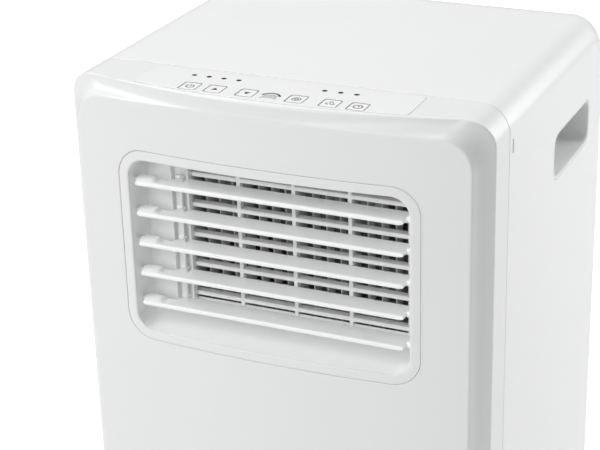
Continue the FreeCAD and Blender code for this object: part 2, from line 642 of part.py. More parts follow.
def volute(name, axis_x, axis_z, neck_top):
    """Four quarter arcs of growing radius, then a straight neck upwards."""
    front, rear = number("scroll_front"), number("coil_front")
    radius, step, wall = number("scroll_start"), number("scroll_step"), number("scroll_wall")

    def solid(grow, y0, y1, extra):
        edges = []
        centre = [axis_x, y0, axis_z]
        reach = radius + grow
        first = (axis_x + reach, y0, axis_z)
        for k in range(4):
            edges.append(quarter(tuple(centre), reach, 90 * k, XZ))
            angle = math.radians(90 * (k + 1))
            last = (centre[0] + reach * math.cos(angle), y0, centre[2] + reach * math.sin(angle))
            centre[0] -= step * math.cos(angle)
            centre[2] -= step * math.sin(angle)
            reach += step
        spiral = wire_face(edges + [line(last, first)])
        neck_left = axis_x + radius - number("scroll_neck") - grow
        neck = Part.makeBox(last[0] - neck_left, y1 - y0, neck_top + extra - axis_z,
                            Vector(neck_left, y0, axis_z))
        return spiral.extrude(Vector(0, y1 - y0, 0)).fuse(neck)

    outer = solid(wall, front, rear, 0)
    inside = solid(0, front + wall, rear - wall, BEYOND)
    eye = Part.makeCylinder(number("inlet_radius"), BEYOND, Vector(axis_x, rear - 10, axis_z), Vector(0, 1, 0))
    shaft_hole = Part.makeCylinder(number("shaft_radius") + 3, BEYOND, Vector(axis_x, front - 5, axis_z),
                                   Vector(0, 1, 0))
    return coded(name, outer.cut([inside, eye, shaft_hole]))


evaporator_wheel = blower_wheel("evaporator_wheel", "evaporator_axis_x", "evaporator_axis_z")
condenser_wheel = blower_wheel("condenser_wheel", "condenser_axis_x", "condenser_axis_z")
evaporator_motor = blower_motor("evaporator_motor", "evaporator_axis_x", "evaporator_axis_z")
condenser_motor = blower_motor("condenser_motor", "condenser_axis_x", "condenser_axis_z")
evaporator_shaft = blower_shaft("evaporator_shaft", "evaporator_axis_x", "evaporator_axis_z")
condenser_shaft = blower_shaft("condenser_shaft", "condenser_axis_x", "condenser_axis_z")
evaporator_scroll = volute("evaporator_scroll", number("evaporator_axis_x"), number("evaporator_axis_z"), 644)
condenser_scroll = volute("condenser_scroll", number("condenser_axis_x"), number("condenser_axis_z"), 298)


# Ducts and the tray under the evaporator: open boxes.
def open_box(name, outer, hole):
    return cut(name, box(name + "_outer", *outer), [box(name + "_hole", *hole)])


outlet_duct = open_box(
    "outlet_duct",
    ("duct_width", "duct_rear - duct_front", "duct_height", "-duct_width / 2",
     "-body_depth / 2 + duct_front", "duct_bottom"),
    ("duct_width - 6", "duct_rear", "duct_height - 6", "-duct_width / 2 + 3",
     "-body_depth / 2 + duct_front - 5", "duct_bottom + 3"))
drip_tray = open_box(
    "drip_tray",
    ("tray_width", 70, "tray_height", "-tray_width / 2", 62, "tray_bottom"),
    ("tray_width - 6", 64, "tray_height", "-tray_width / 2 + 3", 65, "tray_bottom + 3"))
duct_shell = box("exhaust_duct_shell", "exhaust_duct_width", 123, "tray_bottom - exhaust_duct_bottom - 0.5",
                 "-exhaust_duct_width / 2", 8, "exhaust_duct_bottom")
duct_inside = box("exhaust_duct_inside", "exhaust_duct_width - 4", 119,
                  "tray_bottom - exhaust_duct_bottom - 4.5", "-exhaust_duct_width / 2 + 2", 10,
                  "exhaust_duct_bottom + 2")
duct_mouth = rod("exhaust_duct_mouth", "exhaust_radius", 20, 0, 120, "exhaust_height", ALONG_Y)
duct_inlet = box("exhaust_duct_inlet", 39, 64, 20, "condenser_axis_x + scroll_start - 12", 10, 290)
exhaust_duct = cut("exhaust_duct", duct_shell, [duct_inside, duct_mouth, duct_inlet])

# Compressor on three rubber feet, with its accumulator.
can = turned("compressor_can", "XZ_Plane", "V_Axis", [
    ("0 * compressor_radius", "0 * compressor_radius"), ("compressor_radius - 7", "0 * compressor_radius"),
    ("compressor_radius", "8"), ("compressor_radius", "compressor_height - 18"),
    ("compressor_radius - 10", "compressor_height - 5"), ("0 * compressor_radius", "compressor_height")])
place(can, "compressor_x", "compressor_y", "compressor_bottom")
FEET = [(math.radians(angle), 54) for angle in (90, 210, 330)]
FOOT_PLACES = [(reach * math.cos(angle), reach * math.sin(angle)) for angle, reach in FEET]
base = padded("compressor_base", "XY_Plane",
              [(f"{1.25 * x:.3f}", f"{1.25 * y:.3f}") for x, y in FOOT_PLACES], 3)
place(base, "compressor_x", "compressor_y", "compressor_bottom - 3")
stub = rod("compressor_stub", "pipe_radius", 16, "compressor_x + 20", "compressor_y + 12",
           "compressor_bottom + compressor_height - 10")
compressor = fuse("compressor", [can, base, stub])
feet = [rod(f"compressor_foot_{i}", "foot_radius", "foot_height", f"compressor_x + {x:.3f}",
            f"compressor_y + {y:.3f}", "compressor_bottom - 3 - foot_height")
        for i, (x, y) in enumerate(FOOT_PLACES)]
compressor_feet = group("compressor_feet", feet)
accumulator = turned("accumulator", "XZ_Plane", "V_Axis", [
    ("0 * accumulator_radius", "0 * accumulator_radius"), ("accumulator_radius - 8", "2"),
    ("accumulator_radius", "14"), ("accumulator_radius", "106"), ("accumulator_radius - 8", "118"),
    ("0 * accumulator_radius", "120")])
place(accumulator, 0, "accumulator_y", 100)


def pipe(name, points):
    """Straight runs joined by tangent arcs, swept by a round section."""
    radius, bend = number("pipe_radius"), number("pipe_bend")
    points = [Vector(*p) for p in points]
    edges = []
    start = points[0]
    for before, corner, after in zip(points, points[1:], points[2:]):
        come, leave = (corner - before).normalize(), (after - corner).normalize()
        reach = bend * math.tan(come.getAngle(leave) / 2)
        first, last = corner - come * reach, corner + leave * reach
        towards = (leave - come).normalize()
        centre = corner + towards * (bend / math.cos(come.getAngle(leave) / 2))
        edges += [Part.LineSegment(start, first).toShape(),
                  Part.Arc(first, centre - towards * bend, last).toShape()]
        start = last
    edges.append(Part.LineSegment(start, points[-1]).toShape())
    ring = Part.Wire(Part.makeCircle(radius, points[0], points[1] - points[0]))
    return coded(name, Part.Wire(edges).makePipeShell([ring], True, False))


COIL_END = number("coil_width") / 2 + 2
CAN_X, CAN_Y = number("compressor_x"), number("compressor_y")
CAN_TOP = number("compressor_bottom") + number("compressor_height")
discharge_pipe = pipe("discharge_pipe", [
    (CAN_X + 20, CAN_Y + 12, CAN_TOP + 6), (CAN_X + 20, CAN_Y + 12, CAN_TOP + 38),
    (132, CAN_Y + 12, CAN_TOP + 38), (132, 84, CAN_TOP + 38), (COIL_END, 84, CAN_TOP + 38)])
suction_pipe = pipe("suction_pipe", [
    (0, number("accumulator_y"), 220), (0, number("accumulator_y"), 290),
    (134, number("accumulator_y"), 290), (134, number("accumulator_y"), 468), (134, 84, 468),
    (COIL_END, 84, 468)])
liquid_pipe = pipe("liquid_pipe", [
    (-COIL_END, 84, 100), (-136, 84, 100), (-136, -24, 100), (-136, -24, 468), (-136, 84, 468),
    (-COIL_END, 84, 468)])

# Electrical box with the run capacitor beside it.
electrical_box = open_box(
    "electrical_box", (76, 56, 130, -142, -128, 310), (72, 60, 126, -140, -130, 312))
capacitor_can = rod("capacitor_can", 18, 78, -44, -98, 322)
terminals = [box(f"capacitor_tab_{i}", 6, 1, 10, x, -98, 399) for i, x in enumerate((-54, -40))]
run_capacitor = fuse("run_capacitor", [capacitor_can] + terminals)

# Base tray: a pan with its rear corners cut off, and four sockets for the castor stems.
def pan_outline(inset):
    half, rear, corner = f"pan_width / 2 - {inset}", f"pan_rear - {inset}", f"pan_corner - {inset} / 2"
    return [(f"-({half})", f"pan_front + {inset}"), (half, f"pan_front + {inset}"), (half, f"{rear} - {corner}"),
            (f"{half} - {corner}", rear), (f"-({half} - {corner})", rear), (f"-({half})", f"{rear} - {corner}")]


pan = place(padded("pan_outer", "XY_Plane", pan_outline("0 * pan_wall"), "pan_height"), 0, 0, "pan_bottom")
pan_hole = place(padded("pan_inner", "XY_Plane", pan_outline("pan_wall"), "pan_height"),
                 0, 0, "pan_bottom + pan_wall")
CASTORS = {"front_left": ("-castor_x", "castor_front_y"), "front_right": ("castor_x", "castor_front_y"),
           "rear_left": ("-castor_x", "castor_rear_y"), "rear_right": ("castor_x", "castor_rear_y")}
sockets = [rod(f"socket_{place_name}", "socket_radius", "socket_height", x, y, "pan_bottom")
           for place_name, (x, y) in CASTORS.items()]
stem_holes = [rod(f"stem_hole_{place_name}", "castor_stem + running_gap", "socket_height", x, y,
                  "pan_bottom - 1") for place_name, (x, y) in CASTORS.items()]
base_tray = cut("base_tray", fuse("pan_with_sockets", [cut("pan", pan, [pan_hole])] + sockets), stem_holes)

# Castors: a fork that swivels on its stem, and a wheel on the fork's riveted axle.
castors = []
for place_name, (x, y) in CASTORS.items():
    fork_name = "castor_fork_" + place_name
    half_span = "(castor_width / 2 + fork_gap + fork_wall)"
    crown = rod(fork_name + "_crown", "fork_plate", 3, x, y, "2 * castor_radius + 1")
    stem = rod(fork_name + "_stem", "castor_stem", "pan_bottom + socket_height - 2 * castor_radius - 6",
               x, y, "2 * castor_radius + 3")
    arms = [box(f"{fork_name}_arm_{i}", "fork_wall", 14, "castor_radius + 7", f"{x} {offset}",
                f"{y} + castor_trail - 7", "castor_radius - 5")
            for i, offset in enumerate(("- castor_width / 2 - fork_gap - fork_wall",
                                        "+ castor_width / 2 + fork_gap"))]
    axle = rod(fork_name + "_axle", "axle_radius", f"2 * {half_span}", f"{x} - {half_span}",
               f"{y} + castor_trail", "castor_radius", ALONG_X)
    castors.append(fuse(fork_name, [crown, stem] + arms + [axle]))
    wheel = turned("castor_wheel_" + place_name, "XY_Plane", "H_Axis", [
        ("-castor_width / 2", "axle_radius + running_gap"), ("-castor_width / 2", "castor_radius - 2"),
        ("-castor_width / 2 + 2", "castor_radius"), ("castor_width / 2 - 2", "castor_radius"),
        ("castor_width / 2", "castor_radius - 2"), ("castor_width / 2", "axle_radius + running_gap")])
    castors.append(place(wheel, x, f"{y} + castor_trail", "castor_radius"))

SUBPARTS = [
    front_shell, rear_housing, base_tray, outlet_grille, louver_link, vertical_vanes, control_overlay,
    led_lenses, control_board, evaporator_coil, evaporator_wheel, evaporator_shaft, evaporator_motor,
    evaporator_scroll, outlet_duct, drip_tray, condenser_coil, condenser_wheel, condenser_shaft,
    condenser_motor, condenser_scroll, exhaust_duct, compressor, compressor_feet, accumulator,
    discharge_pipe, suction_pipe, liquid_pipe, electrical_box, run_capacitor, upper_filter_cover,
    upper_filter_mesh, lower_filter_cover, lower_filter_mesh, exhaust_collar, cord_inlet, cord_hooks,
    side_grips, housing_screws] + louvers + buttons + drain_plugs + castors

doc.recompute()
for item in doc.Objects:
    if any(word in item.State for word in ("Invalid", "Error")):
        raise RuntimeError(item.Name + " did not recompute: " + str(item.State))
for part in SUBPARTS:
    if part.Shape.isNull() or not part.Shape.isValid():
        raise RuntimeError(part.Label + " has no valid shape")
for part in SUBPARTS:
    part.Shape.exportStep("parts/" + part.Label + ".step")
    limits = part.Shape.BoundBox
    print(f"{part.Label:24s} {len(part.Shape.Solids)} solids {part.Shape.Volume / 1000:9.1f} cm3 "
          f"x {limits.XMin:.1f}..{limits.XMax:.1f} y {limits.YMin:.1f}..{limits.YMax:.1f} "
          f"z {limits.ZMin:.1f}..{limits.ZMax:.1f}")
print(len(SUBPARTS), "sub-parts")
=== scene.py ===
import json
import math

import bmesh
import bpy
from mathutils import Matrix, Vector
from mathutils.geometry import delaunay_2d_cdt


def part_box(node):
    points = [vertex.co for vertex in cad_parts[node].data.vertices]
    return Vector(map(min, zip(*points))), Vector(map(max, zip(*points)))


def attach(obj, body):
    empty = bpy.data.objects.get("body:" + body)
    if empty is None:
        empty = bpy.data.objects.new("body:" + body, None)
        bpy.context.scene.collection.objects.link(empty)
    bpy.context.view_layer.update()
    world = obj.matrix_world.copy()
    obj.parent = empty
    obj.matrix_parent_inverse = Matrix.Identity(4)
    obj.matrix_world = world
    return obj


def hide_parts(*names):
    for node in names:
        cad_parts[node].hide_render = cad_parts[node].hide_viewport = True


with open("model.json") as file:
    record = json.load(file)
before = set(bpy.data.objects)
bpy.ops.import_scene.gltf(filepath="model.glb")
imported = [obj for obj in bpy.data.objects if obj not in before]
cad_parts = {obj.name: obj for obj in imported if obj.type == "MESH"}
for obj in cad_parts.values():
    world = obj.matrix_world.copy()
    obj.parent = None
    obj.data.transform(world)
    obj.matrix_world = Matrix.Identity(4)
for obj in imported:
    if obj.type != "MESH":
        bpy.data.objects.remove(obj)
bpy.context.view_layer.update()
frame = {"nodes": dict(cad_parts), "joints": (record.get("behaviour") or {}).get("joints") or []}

# The view: a long lens from the front right, a little above the top of the cabinet.
# The camera is turned, dropped and leant by these angles from looking straight at the front.
view_place = Vector((0.4578, -1.0910, 1.0420))
view_turn, view_drop, view_lean = math.radians(24.87), math.radians(23.51), math.radians(-1.64)
ahead = Vector((-math.sin(view_turn) * math.cos(view_drop),
                math.cos(view_turn) * math.cos(view_drop), -math.sin(view_drop)))
level = Vector((math.cos(view_turn), math.sin(view_turn), 0.0))
upright = level.cross(ahead)
across = math.cos(view_lean) * level + math.sin(view_lean) * upright
upwards = -math.sin(view_lean) * level + math.cos(view_lean) * upright
view = bpy.data.objects.new("view", bpy.data.cameras.new("view"))
bpy.context.scene.collection.objects.link(view)
view.data.lens = 102.87
view.data.sensor_width = 36.0
view.data.clip_start = 0.05
view.matrix_world = Matrix((across, upwards, -ahead)).transposed().to_4x4()
view.location = view_place
bpy.context.scene.camera = view

# The studio: a wide white floor under the machine that runs out to white air, with large soft boxes
# in front, high at the left, overhead, and behind at the right to light the side.
bpy.context.scene.view_settings.view_transform = "Standard"
for name, place, aim, width, height, power in (
        ("front_box", (-0.5, -2.7, 1.6), (0, -0.1, 0.4), 1.6, 1.4, 20),
        ("left_top_box", (-1.5, -1.3, 2.1), (0, -0.1, 0.6), 1.2, 1.2, 27),
        ("top_box", (-0.2, 0.5, 2.4), (0, 0, 0.6), 2.2, 1.6, 22),
        ("right_box", (1.9, 2.0, 1.1), (0.1, 0, 0.5), 1.4, 1.8, 44)):
    lamp = bpy.data.lights.new(name, "AREA")
    lamp.shape = "RECTANGLE"
    lamp.size, lamp.size_y, lamp.energy = width, height, power
    holder = bpy.data.objects.new(name, lamp)
    bpy.context.scene.collection.objects.link(holder)
    holder.location = place
    holder.rotation_euler = (Vector(aim) - Vector(place)).to_track_quat("-Z", "Y").to_euler()


def add(tree, kind, inputs=None, **settings):
    """A shader node with its settings, and with constants on the inputs that are named."""
    node = tree.nodes.new(kind)
    for label, value in settings.items():
        setattr(node, label, value)
    for socket, value in (inputs or {}).items():
        node.inputs[socket].default_value = value
    return node


def wire(tree, *links):
    """Joins sockets; each link is a node and its output, then a node and its input."""
    for source, output, target, entry in links:
        tree.links.new(source.outputs[output], target.inputs[entry])


def new_material(name, **constants):
    """A material, its node tree and its shader, with constants set on the shader's own sockets."""
    made = bpy.data.materials.new(name)
    made.use_nodes = True
    shader = made.node_tree.nodes["Principled BSDF"]
    for label, value in constants.items():
        shader.inputs[label.replace("_", " ")].default_value = value
    return made, made.node_tree, shader


air = bpy.data.worlds.new("studio_air")
bpy.context.scene.world = air
air.use_nodes = True
white = (1.0, 1.0, 1.0, 1.0)
glow = air.node_tree.nodes["Background"]
glow.inputs["Color"].default_value = white
glow.inputs["Strength"].default_value = 0.29
backdrop = add(air.node_tree, "ShaderNodeBackground", {"Color": white, "Strength": 1.1})
sight = add(air.node_tree, "ShaderNodeLightPath")
either = add(air.node_tree, "ShaderNodeMixShader")
wire(air.node_tree, (sight, "Is Camera Ray", either, 0), (glow, 0, either, 1), (backdrop, 0, either, 2),
     (either, 0, air.node_tree.nodes["World Output"], "Surface"))

sweep_mesh = bpy.data.meshes.new("sweep")
sweep_form = bmesh.new()
bmesh.ops.create_circle(sweep_form, cap_ends=True, radius=14.0, segments=96)
sweep_form.to_mesh(sweep_mesh)
sweep_form.free()
sweep = bpy.data.objects.new("sweep", sweep_mesh)
bpy.context.scene.collection.objects.link(sweep)
paper, paper_tree, paper_finish = new_material("white_paper", Roughness=0.9, Specular_IOR_Level=0.1,
                                               Emission_Strength=1.0)
paper_noise = add(paper_tree, "ShaderNodeTexNoise", {"Scale": 3.0})
paper_tone = add(paper_tree, "ShaderNodeMapRange", {"To Min": 0.93, "To Max": 0.96})
paper_place = add(paper_tree, "ShaderNodeTexCoord")
paper_reach = add(paper_tree, "ShaderNodeVectorMath", operation="LENGTH")
paper_fade = add(paper_tree, "ShaderNodeMapRange",
                 {"From Min": 0.3, "From Max": 1.8, "To Min": 0.5, "To Max": 1.1})
paper_sight = add(paper_tree, "ShaderNodeLightPath")
paper_lift = add(paper_tree, "ShaderNodeMath", operation="MULTIPLY")
wire(paper_tree, (paper_noise, "Fac", paper_tone, "Value"),
     (paper_tone, "Result", paper_finish, "Base Color"),
     (paper_place, "Object", paper_reach, 0), (paper_reach, "Value", paper_fade, "Value"),
     (paper_sight, "Is Camera Ray", paper_lift, 0), (paper_fade, "Result", paper_lift, 1),
     (paper_lift, "Value", paper_finish, "Emission Color"))
sweep_mesh.materials.append(paper)


# Front shell: one glossy white moulding with a bowed face standing proud of the rim.
# A hollow cove runs round the face, narrow over the middle of the top and wide at the corners,
# and the flat strip behind it meets the rear housing at a fine seam.
shell_low, shell_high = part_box("front_shell")


def at(right, back, up):
    """A point in millimetres from the middle of the front edge of the cabinet's top."""
    return Vector((right / 1000, shell_low.y + back / 1000, shell_high.z + up / 1000))


def back_of(y):
    """How far a place in metres lies behind the cabinet's front edge, in millimetres."""
    return (y - shell_low.y) * 1000


def level_of(z):
    """How far a height in metres lies above the cabinet's top, in millimetres."""
    return (z - shell_high.z) * 1000


def ease(value, start, end):
    """Rises smoothly from 0 at the start to 1 at the end."""
    share = min(1.0, max(0.0, (value - start) / (end - start)))
    return share * share * (3 - 2 * share)


side_steps, bend_steps, top_steps = 30, 14, 92


def hood_outline(half, top, radius, low):
    """Up the left side, round two top corners and down the right, as (right, up, outward) rows."""
    rows = []
    for i in range(side_steps):
        rows.append((-half, low + (top - radius - low) * i / side_steps, (-1.0, 0.0)))
    for i in range(bend_steps):
        turn = math.pi / 2 * i / bend_steps
        out = (-math.cos(turn), math.sin(turn))
        rows.append((-half + radius + radius * out[0], top - radius + radius * out[1], out))
    for i in range(top_steps):
        rows.append(((half - radius) * (2 * i / top_steps - 1), top, (0.0, 1.0)))
    for i in range(bend_steps):
        turn = math.pi / 2 * i / bend_steps
        out = (math.sin(turn), math.cos(turn))
        rows.append((half - radius + radius * out[0], top - radius + radius * out[1], out))
    for i in range(side_steps + 1):
        rows.append((half, top - radius - (top - radius - low) * i / side_steps, (1.0, 0.0)))
    return rows


def curve3(a, b, c, steps):
    """Points on the smooth curve that leaves a towards b and arrives at c."""
    return [a.lerp(b, t).lerp(b.lerp(c, t), t) for t in (i / steps for i in range(steps + 1))]


def circle(right, up, radius, steps, start=0.0):
    """Flat points round a circle, from an angle in degrees."""
    turns = [math.radians(start + 360 * i / steps) for i in range(steps)]
    return [(right + radius * math.cos(turn), up + radius * math.sin(turn)) for turn in turns]


class Moulding:
    """Gathers the faces of one piece, then makes it a smooth object with crisp, weighted edges."""

    def __init__(self):
        self.form = bmesh.new()
        self.known = {}

    def vert(self, point):
        """The corner at a point, shared by every face that comes within a few microns of it."""
        key = tuple(round(c * 2e5) for c in point)
        if key not in self.known:
            self.known[key] = self.form.verts.new(point)
        return self.known[key]

    def face(self, points, paint=0):
        corners = []
        for point in points:
            corner = self.vert(point)
            if corner not in corners:
                corners.append(corner)
        if len(corners) > 2 and self.form.faces.get(corners) is None:
            self.form.faces.new(corners).material_index = paint

    def sheet(self, rows, closed=False, flip=False, paint=0):
        """The faces between each row of points and the next."""
        for first, second in zip(rows, rows[1:]):
            count = len(first)
            for i in range(count if closed else count - 1):
                j = (i + 1) % count
                corners = [first[i], first[j], second[j], second[i]]
                self.face(corners[::-1] if flip else corners, paint)

    def prism(self, rings, paint=0):
        """A solid run of rings: the wall between them and a face on each end."""
        self.sheet(rings, closed=True, paint=paint)
        self.face(rings[0][::-1], paint)
        self.face(rings[-1], paint)

    def block(self, low, high):
        """A closed block between two points given in millimetres from the top front edge."""
        outline = ((low[0], low[1]), (high[0], low[1]), (high[0], high[1]), (low[0], high[1]))
        self.prism([[at(right, back, up) for right, back in outline] for up in (low[2], high[2])])

    def sound(self):
        """Makes every face of a closed piece look outwards."""
        bmesh.ops.recalc_face_normals(self.form, faces=self.form.faces)
        return self

    def extrude(self, back=0.0, up=0.0):
        """Gives a flat sheet its thickness."""
        pushed = bmesh.ops.extrude_face_region(self.form, geom=list(self.form.faces))
        for vert in [item for item in pushed["geom"] if isinstance(item, bmesh.types.BMVert)]:
            vert.co += Vector((0.0, back / 1000, up / 1000))
        return self.sound()

    def finish(self, name, body, material, slot, replaces=(), sharp=32, bevel=0.0, segments=2):
        """Makes the object, smooth between its sharp or bevelled edges, and sets it on its body."""
        mesh = bpy.data.meshes.new(name)
        self.form.to_mesh(mesh)
        self.form.free()
        mesh.polygons.foreach_set("use_smooth", [True] * len(mesh.polygons))
        piece = bpy.data.objects.new(name, mesh)
        bpy.context.scene.collection.objects.link(piece)
        for paint in (material if isinstance(material, list) else [material]):
            mesh.materials.append(paint)
        if bevel:
            rounding = piece.modifiers.new("rounded_edges", "BEVEL")
            rounding.width, rounding.segments = bevel, segments
            rounding.limit_method, rounding.angle_limit = "ANGLE", math.radians(40)
            rounding.harden_normals = False
        mesh.set_sharp_from_angle(angle=math.radians(75 if bevel else sharp))
        weighted = piece.modifiers.new("even_shading", "WEIGHTED_NORMAL")
        weighted.keep_sharp = True
        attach(piece, body)
        if replaces:
            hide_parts(*replaces)


def new_group(name, inputs, outputs):
    """A shader node group with named number inputs and outputs."""
    tree = bpy.data.node_groups.new(name, "ShaderNodeTree")
    for label, value in inputs.items():
        socket = tree.interface.new_socket(name=label, in_out="INPUT", socket_type="NodeSocketFloat")
        socket.default_value = value
    for label in outputs:
        tree.interface.new_socket(name=label, in_out="OUTPUT", socket_type="NodeSocketFloat")
    return tree, tree.nodes.new("NodeGroupInput"), tree.nodes.new("NodeGroupOutput")


# Mould grain: the faint orange peel of injection moulded plastic, with a slow drift of tone and gloss.
mould_grain, grain_in, grain_out = new_group(
    "mould_grain", {"Grain Scale": 900.0, "Drift Scale": 5.0}, ("Height", "Tone", "Gloss"))
grain_place = add(mould_grain, "ShaderNodeTexCoord")
fine_noise = add(mould_grain, "ShaderNodeTexNoise", {"Detail": 2.0, "Roughness": 0.5})
slow_noise = add(mould_grain, "ShaderNodeTexNoise", {"Detail": 3.0, "Roughness": 0.55})
tone_range = add(mould_grain, "ShaderNodeMapRange", {"From Min": 0.3, "From Max": 0.7})
gloss_mix = add(mould_grain, "ShaderNodeMath", operation="MULTIPLY")
wire(mould_grain, (grain_place, "Object", fine_noise, "Vector"),
     (grain_in, "Grain Scale", fine_noise, "Scale"),
     (grain_place, "Object", slow_noise, "Vector"), (grain_in, "Drift Scale", slow_noise, "Scale"),
     (slow_noise, "Fac", tone_range, "Value"), (tone_range, "Result", grain_out, "Tone"),
     (fine_noise, "Fac", grain_out, "Height"), (slow_noise, "Fac", gloss_mix, 0),
     (fine_noise, "Fac", gloss_mix, 1), (gloss_mix, "Value", grain_out, "Gloss"))

# Settled dust: gathers thinly on faces that look up and thins out in soft patches.
settled_dust, dust_in, dust_out = new_group("settled_dust", {"Amount": 0.1, "Patch Scale": 30.0}, ("Mask",))
dust_place = add(settled_dust, "ShaderNodeTexCoord")
dust_facing = add(settled_dust, "ShaderNodeNewGeometry")
dust_split = add(settled_dust, "ShaderNodeSeparateXYZ")
dust_noise = add(settled_dust, "ShaderNodeTexNoise", {"Detail": 4.0})
dust_up = add(settled_dust, "ShaderNodeMapRange", {"From Min": 0.2, "From Max": 1.0})
dust_patch = add(settled_dust, "ShaderNodeMath", operation="MULTIPLY")
dust_share = add(settled_dust, "ShaderNodeMath", operation="MULTIPLY")
wire(settled_dust, (dust_facing, "Normal", dust_split, 0), (dust_split, "Z", dust_up, "Value"),
     (dust_place, "Object", dust_noise, "Vector"), (dust_in, "Patch Scale", dust_noise, "Scale"),
     (dust_up, "Result", dust_patch, 0), (dust_noise, "Fac", dust_patch, 1),
     (dust_patch, "Value", dust_share, 0), (dust_in, "Amount", dust_share, 1),
     (dust_share, "Value", dust_out, "Mask"))

# Handled edges: marks the thin line along an outer edge, where plastic or paint is polished or worn.
handled_edges, edge_in, edge_out = new_group(
    "handled_edges", {"Width": 0.0006, "Breakup Scale": 60.0}, ("Mask",))
edge_round = add(handled_edges, "ShaderNodeBevel", samples=3)
edge_true = add(handled_edges, "ShaderNodeNewGeometry")
edge_dot = add(handled_edges, "ShaderNodeVectorMath", operation="DOT_PRODUCT")
edge_range = add(handled_edges, "ShaderNodeMapRange", {"From Min": 0.995, "From Max": 0.9})
edge_noise = add(handled_edges, "ShaderNodeTexNoise", {"Detail": 3.0})
edge_break = add(handled_edges, "ShaderNodeMath", operation="MULTIPLY")
edge_place = add(handled_edges, "ShaderNodeTexCoord")
wire(handled_edges, (edge_in, "Width", edge_round, "Radius"), (edge_round, "Normal", edge_dot, 0),
     (edge_true, "Normal", edge_dot, 1), (edge_dot, "Value", edge_range, "Value"),
     (edge_place, "Object", edge_noise, "Vector"), (edge_in, "Breakup Scale", edge_noise, "Scale"),
     (edge_range, "Result", edge_break, 0), (edge_noise, "Fac", edge_break, 1),
     (edge_break, "Value", edge_out, "Mask"))

# A Mix node's colour sockets share their names with its number sockets, so they go by these places.
mix_first, mix_second, mix_result = 6, 7, 2


def moulded(name, colour, roughness, relief=0.00002, dust=0.1, worn=0.25, grain=900.0, coat=0.0, ior=1.5,
            metal=0.0, drift=0.03):
    """A moulded or painted finish: colour, gloss and relief each vary a little over the surface."""
    made, tree, shader = new_material(name, IOR=ior, Metallic=metal, Coat_Weight=coat, Coat_Roughness=0.08)
    texture = add(tree, "ShaderNodeGroup", {"Grain Scale": grain}, node_tree=mould_grain)
    dusty = add(tree, "ShaderNodeGroup", {"Amount": dust}, node_tree=settled_dust)
    rubbed = add(tree, "ShaderNodeGroup", node_tree=handled_edges)
    darker = (*[c * (1 - drift) for c in colour], 1)
    paler = (*[min(1.0, c * (1 + drift)) for c in colour], 1)
    bright = (*[c + (1 - c) * worn for c in colour], 1)
    dust_colour = (0.62, 0.61, 0.59, 1)
    tinted = add(tree, "ShaderNodeMix", data_type="RGBA")
    polished = add(tree, "ShaderNodeMix", data_type="RGBA")
    powdered = add(tree, "ShaderNodeMix", data_type="RGBA")
    for node, place, value in ((tinted, mix_first, darker), (tinted, mix_second, paler),
                               (polished, mix_second, bright), (powdered, mix_second, dust_colour)):
        node.inputs[place].default_value = value
    gloss = add(tree, "ShaderNodeMapRange",
                {"From Max": 0.5, "To Min": roughness * 0.85, "To Max": roughness * 1.15})
    dull = add(tree, "ShaderNodeMath", {1: 0.5}, operation="MULTIPLY_ADD")
    bumped = add(tree, "ShaderNodeBump", {"Strength": 1.0, "Distance": relief})
    wire(tree, (texture, "Tone", tinted, 0), (rubbed, "Mask", polished, 0),
         (tinted, mix_result, polished, mix_first),
         (dusty, "Mask", powdered, 0), (polished, mix_result, powdered, mix_first),
         (powdered, mix_result, shader, "Base Color"), (texture, "Gloss", gloss, "Value"),
         (dusty, "Mask", dull, 0), (gloss, "Result", dull, 2), (dull, "Value", shader, "Roughness"),
         (texture, "Height", bumped, "Height"), (bumped, "Normal", shader, "Normal"))
    return made


shell_white = moulded("shell_white", (0.79, 0.795, 0.795), 0.3, relief=0.000012, dust=0.02, worn=0.2,
                      drift=0.006)

side_x, corner_round, seam_back, wall = 152.5, 20.0, 51.6, 2.5
face_x, face_top, face_round, face_bow_radius = 142.0, -11.5, 22.0, 960.0
shell_bottom = level_of(shell_low.z)
strip_top = -0.4
rim_line = hood_outline(side_x, strip_top, corner_round, shell_bottom)
face_line = hood_outline(face_x, face_top, face_round, shell_bottom)


def bow(right):
    """How far the face falls back at that distance from the middle."""
    return right * right / (2 * face_bow_radius)


rim_side, rim_middle, rim_fall, rim_reach = 25.0, 1.5, 17.5, 137.0


def rim_depth(right, up):
    """Where the rim's front edge lies: close to the face at the middle, well back at the corners."""
    if up < -corner_round:
        return rim_side
    straight = side_x - corner_round
    top_depth = rim_middle + rim_fall * (min(abs(right), straight) / rim_reach) ** 2
    if abs(right) <= straight:
        return top_depth
    turn = math.atan2(abs(right) - straight, up + corner_round)
    return top_depth + (rim_side - top_depth) * ease(turn, 0, math.pi / 2)


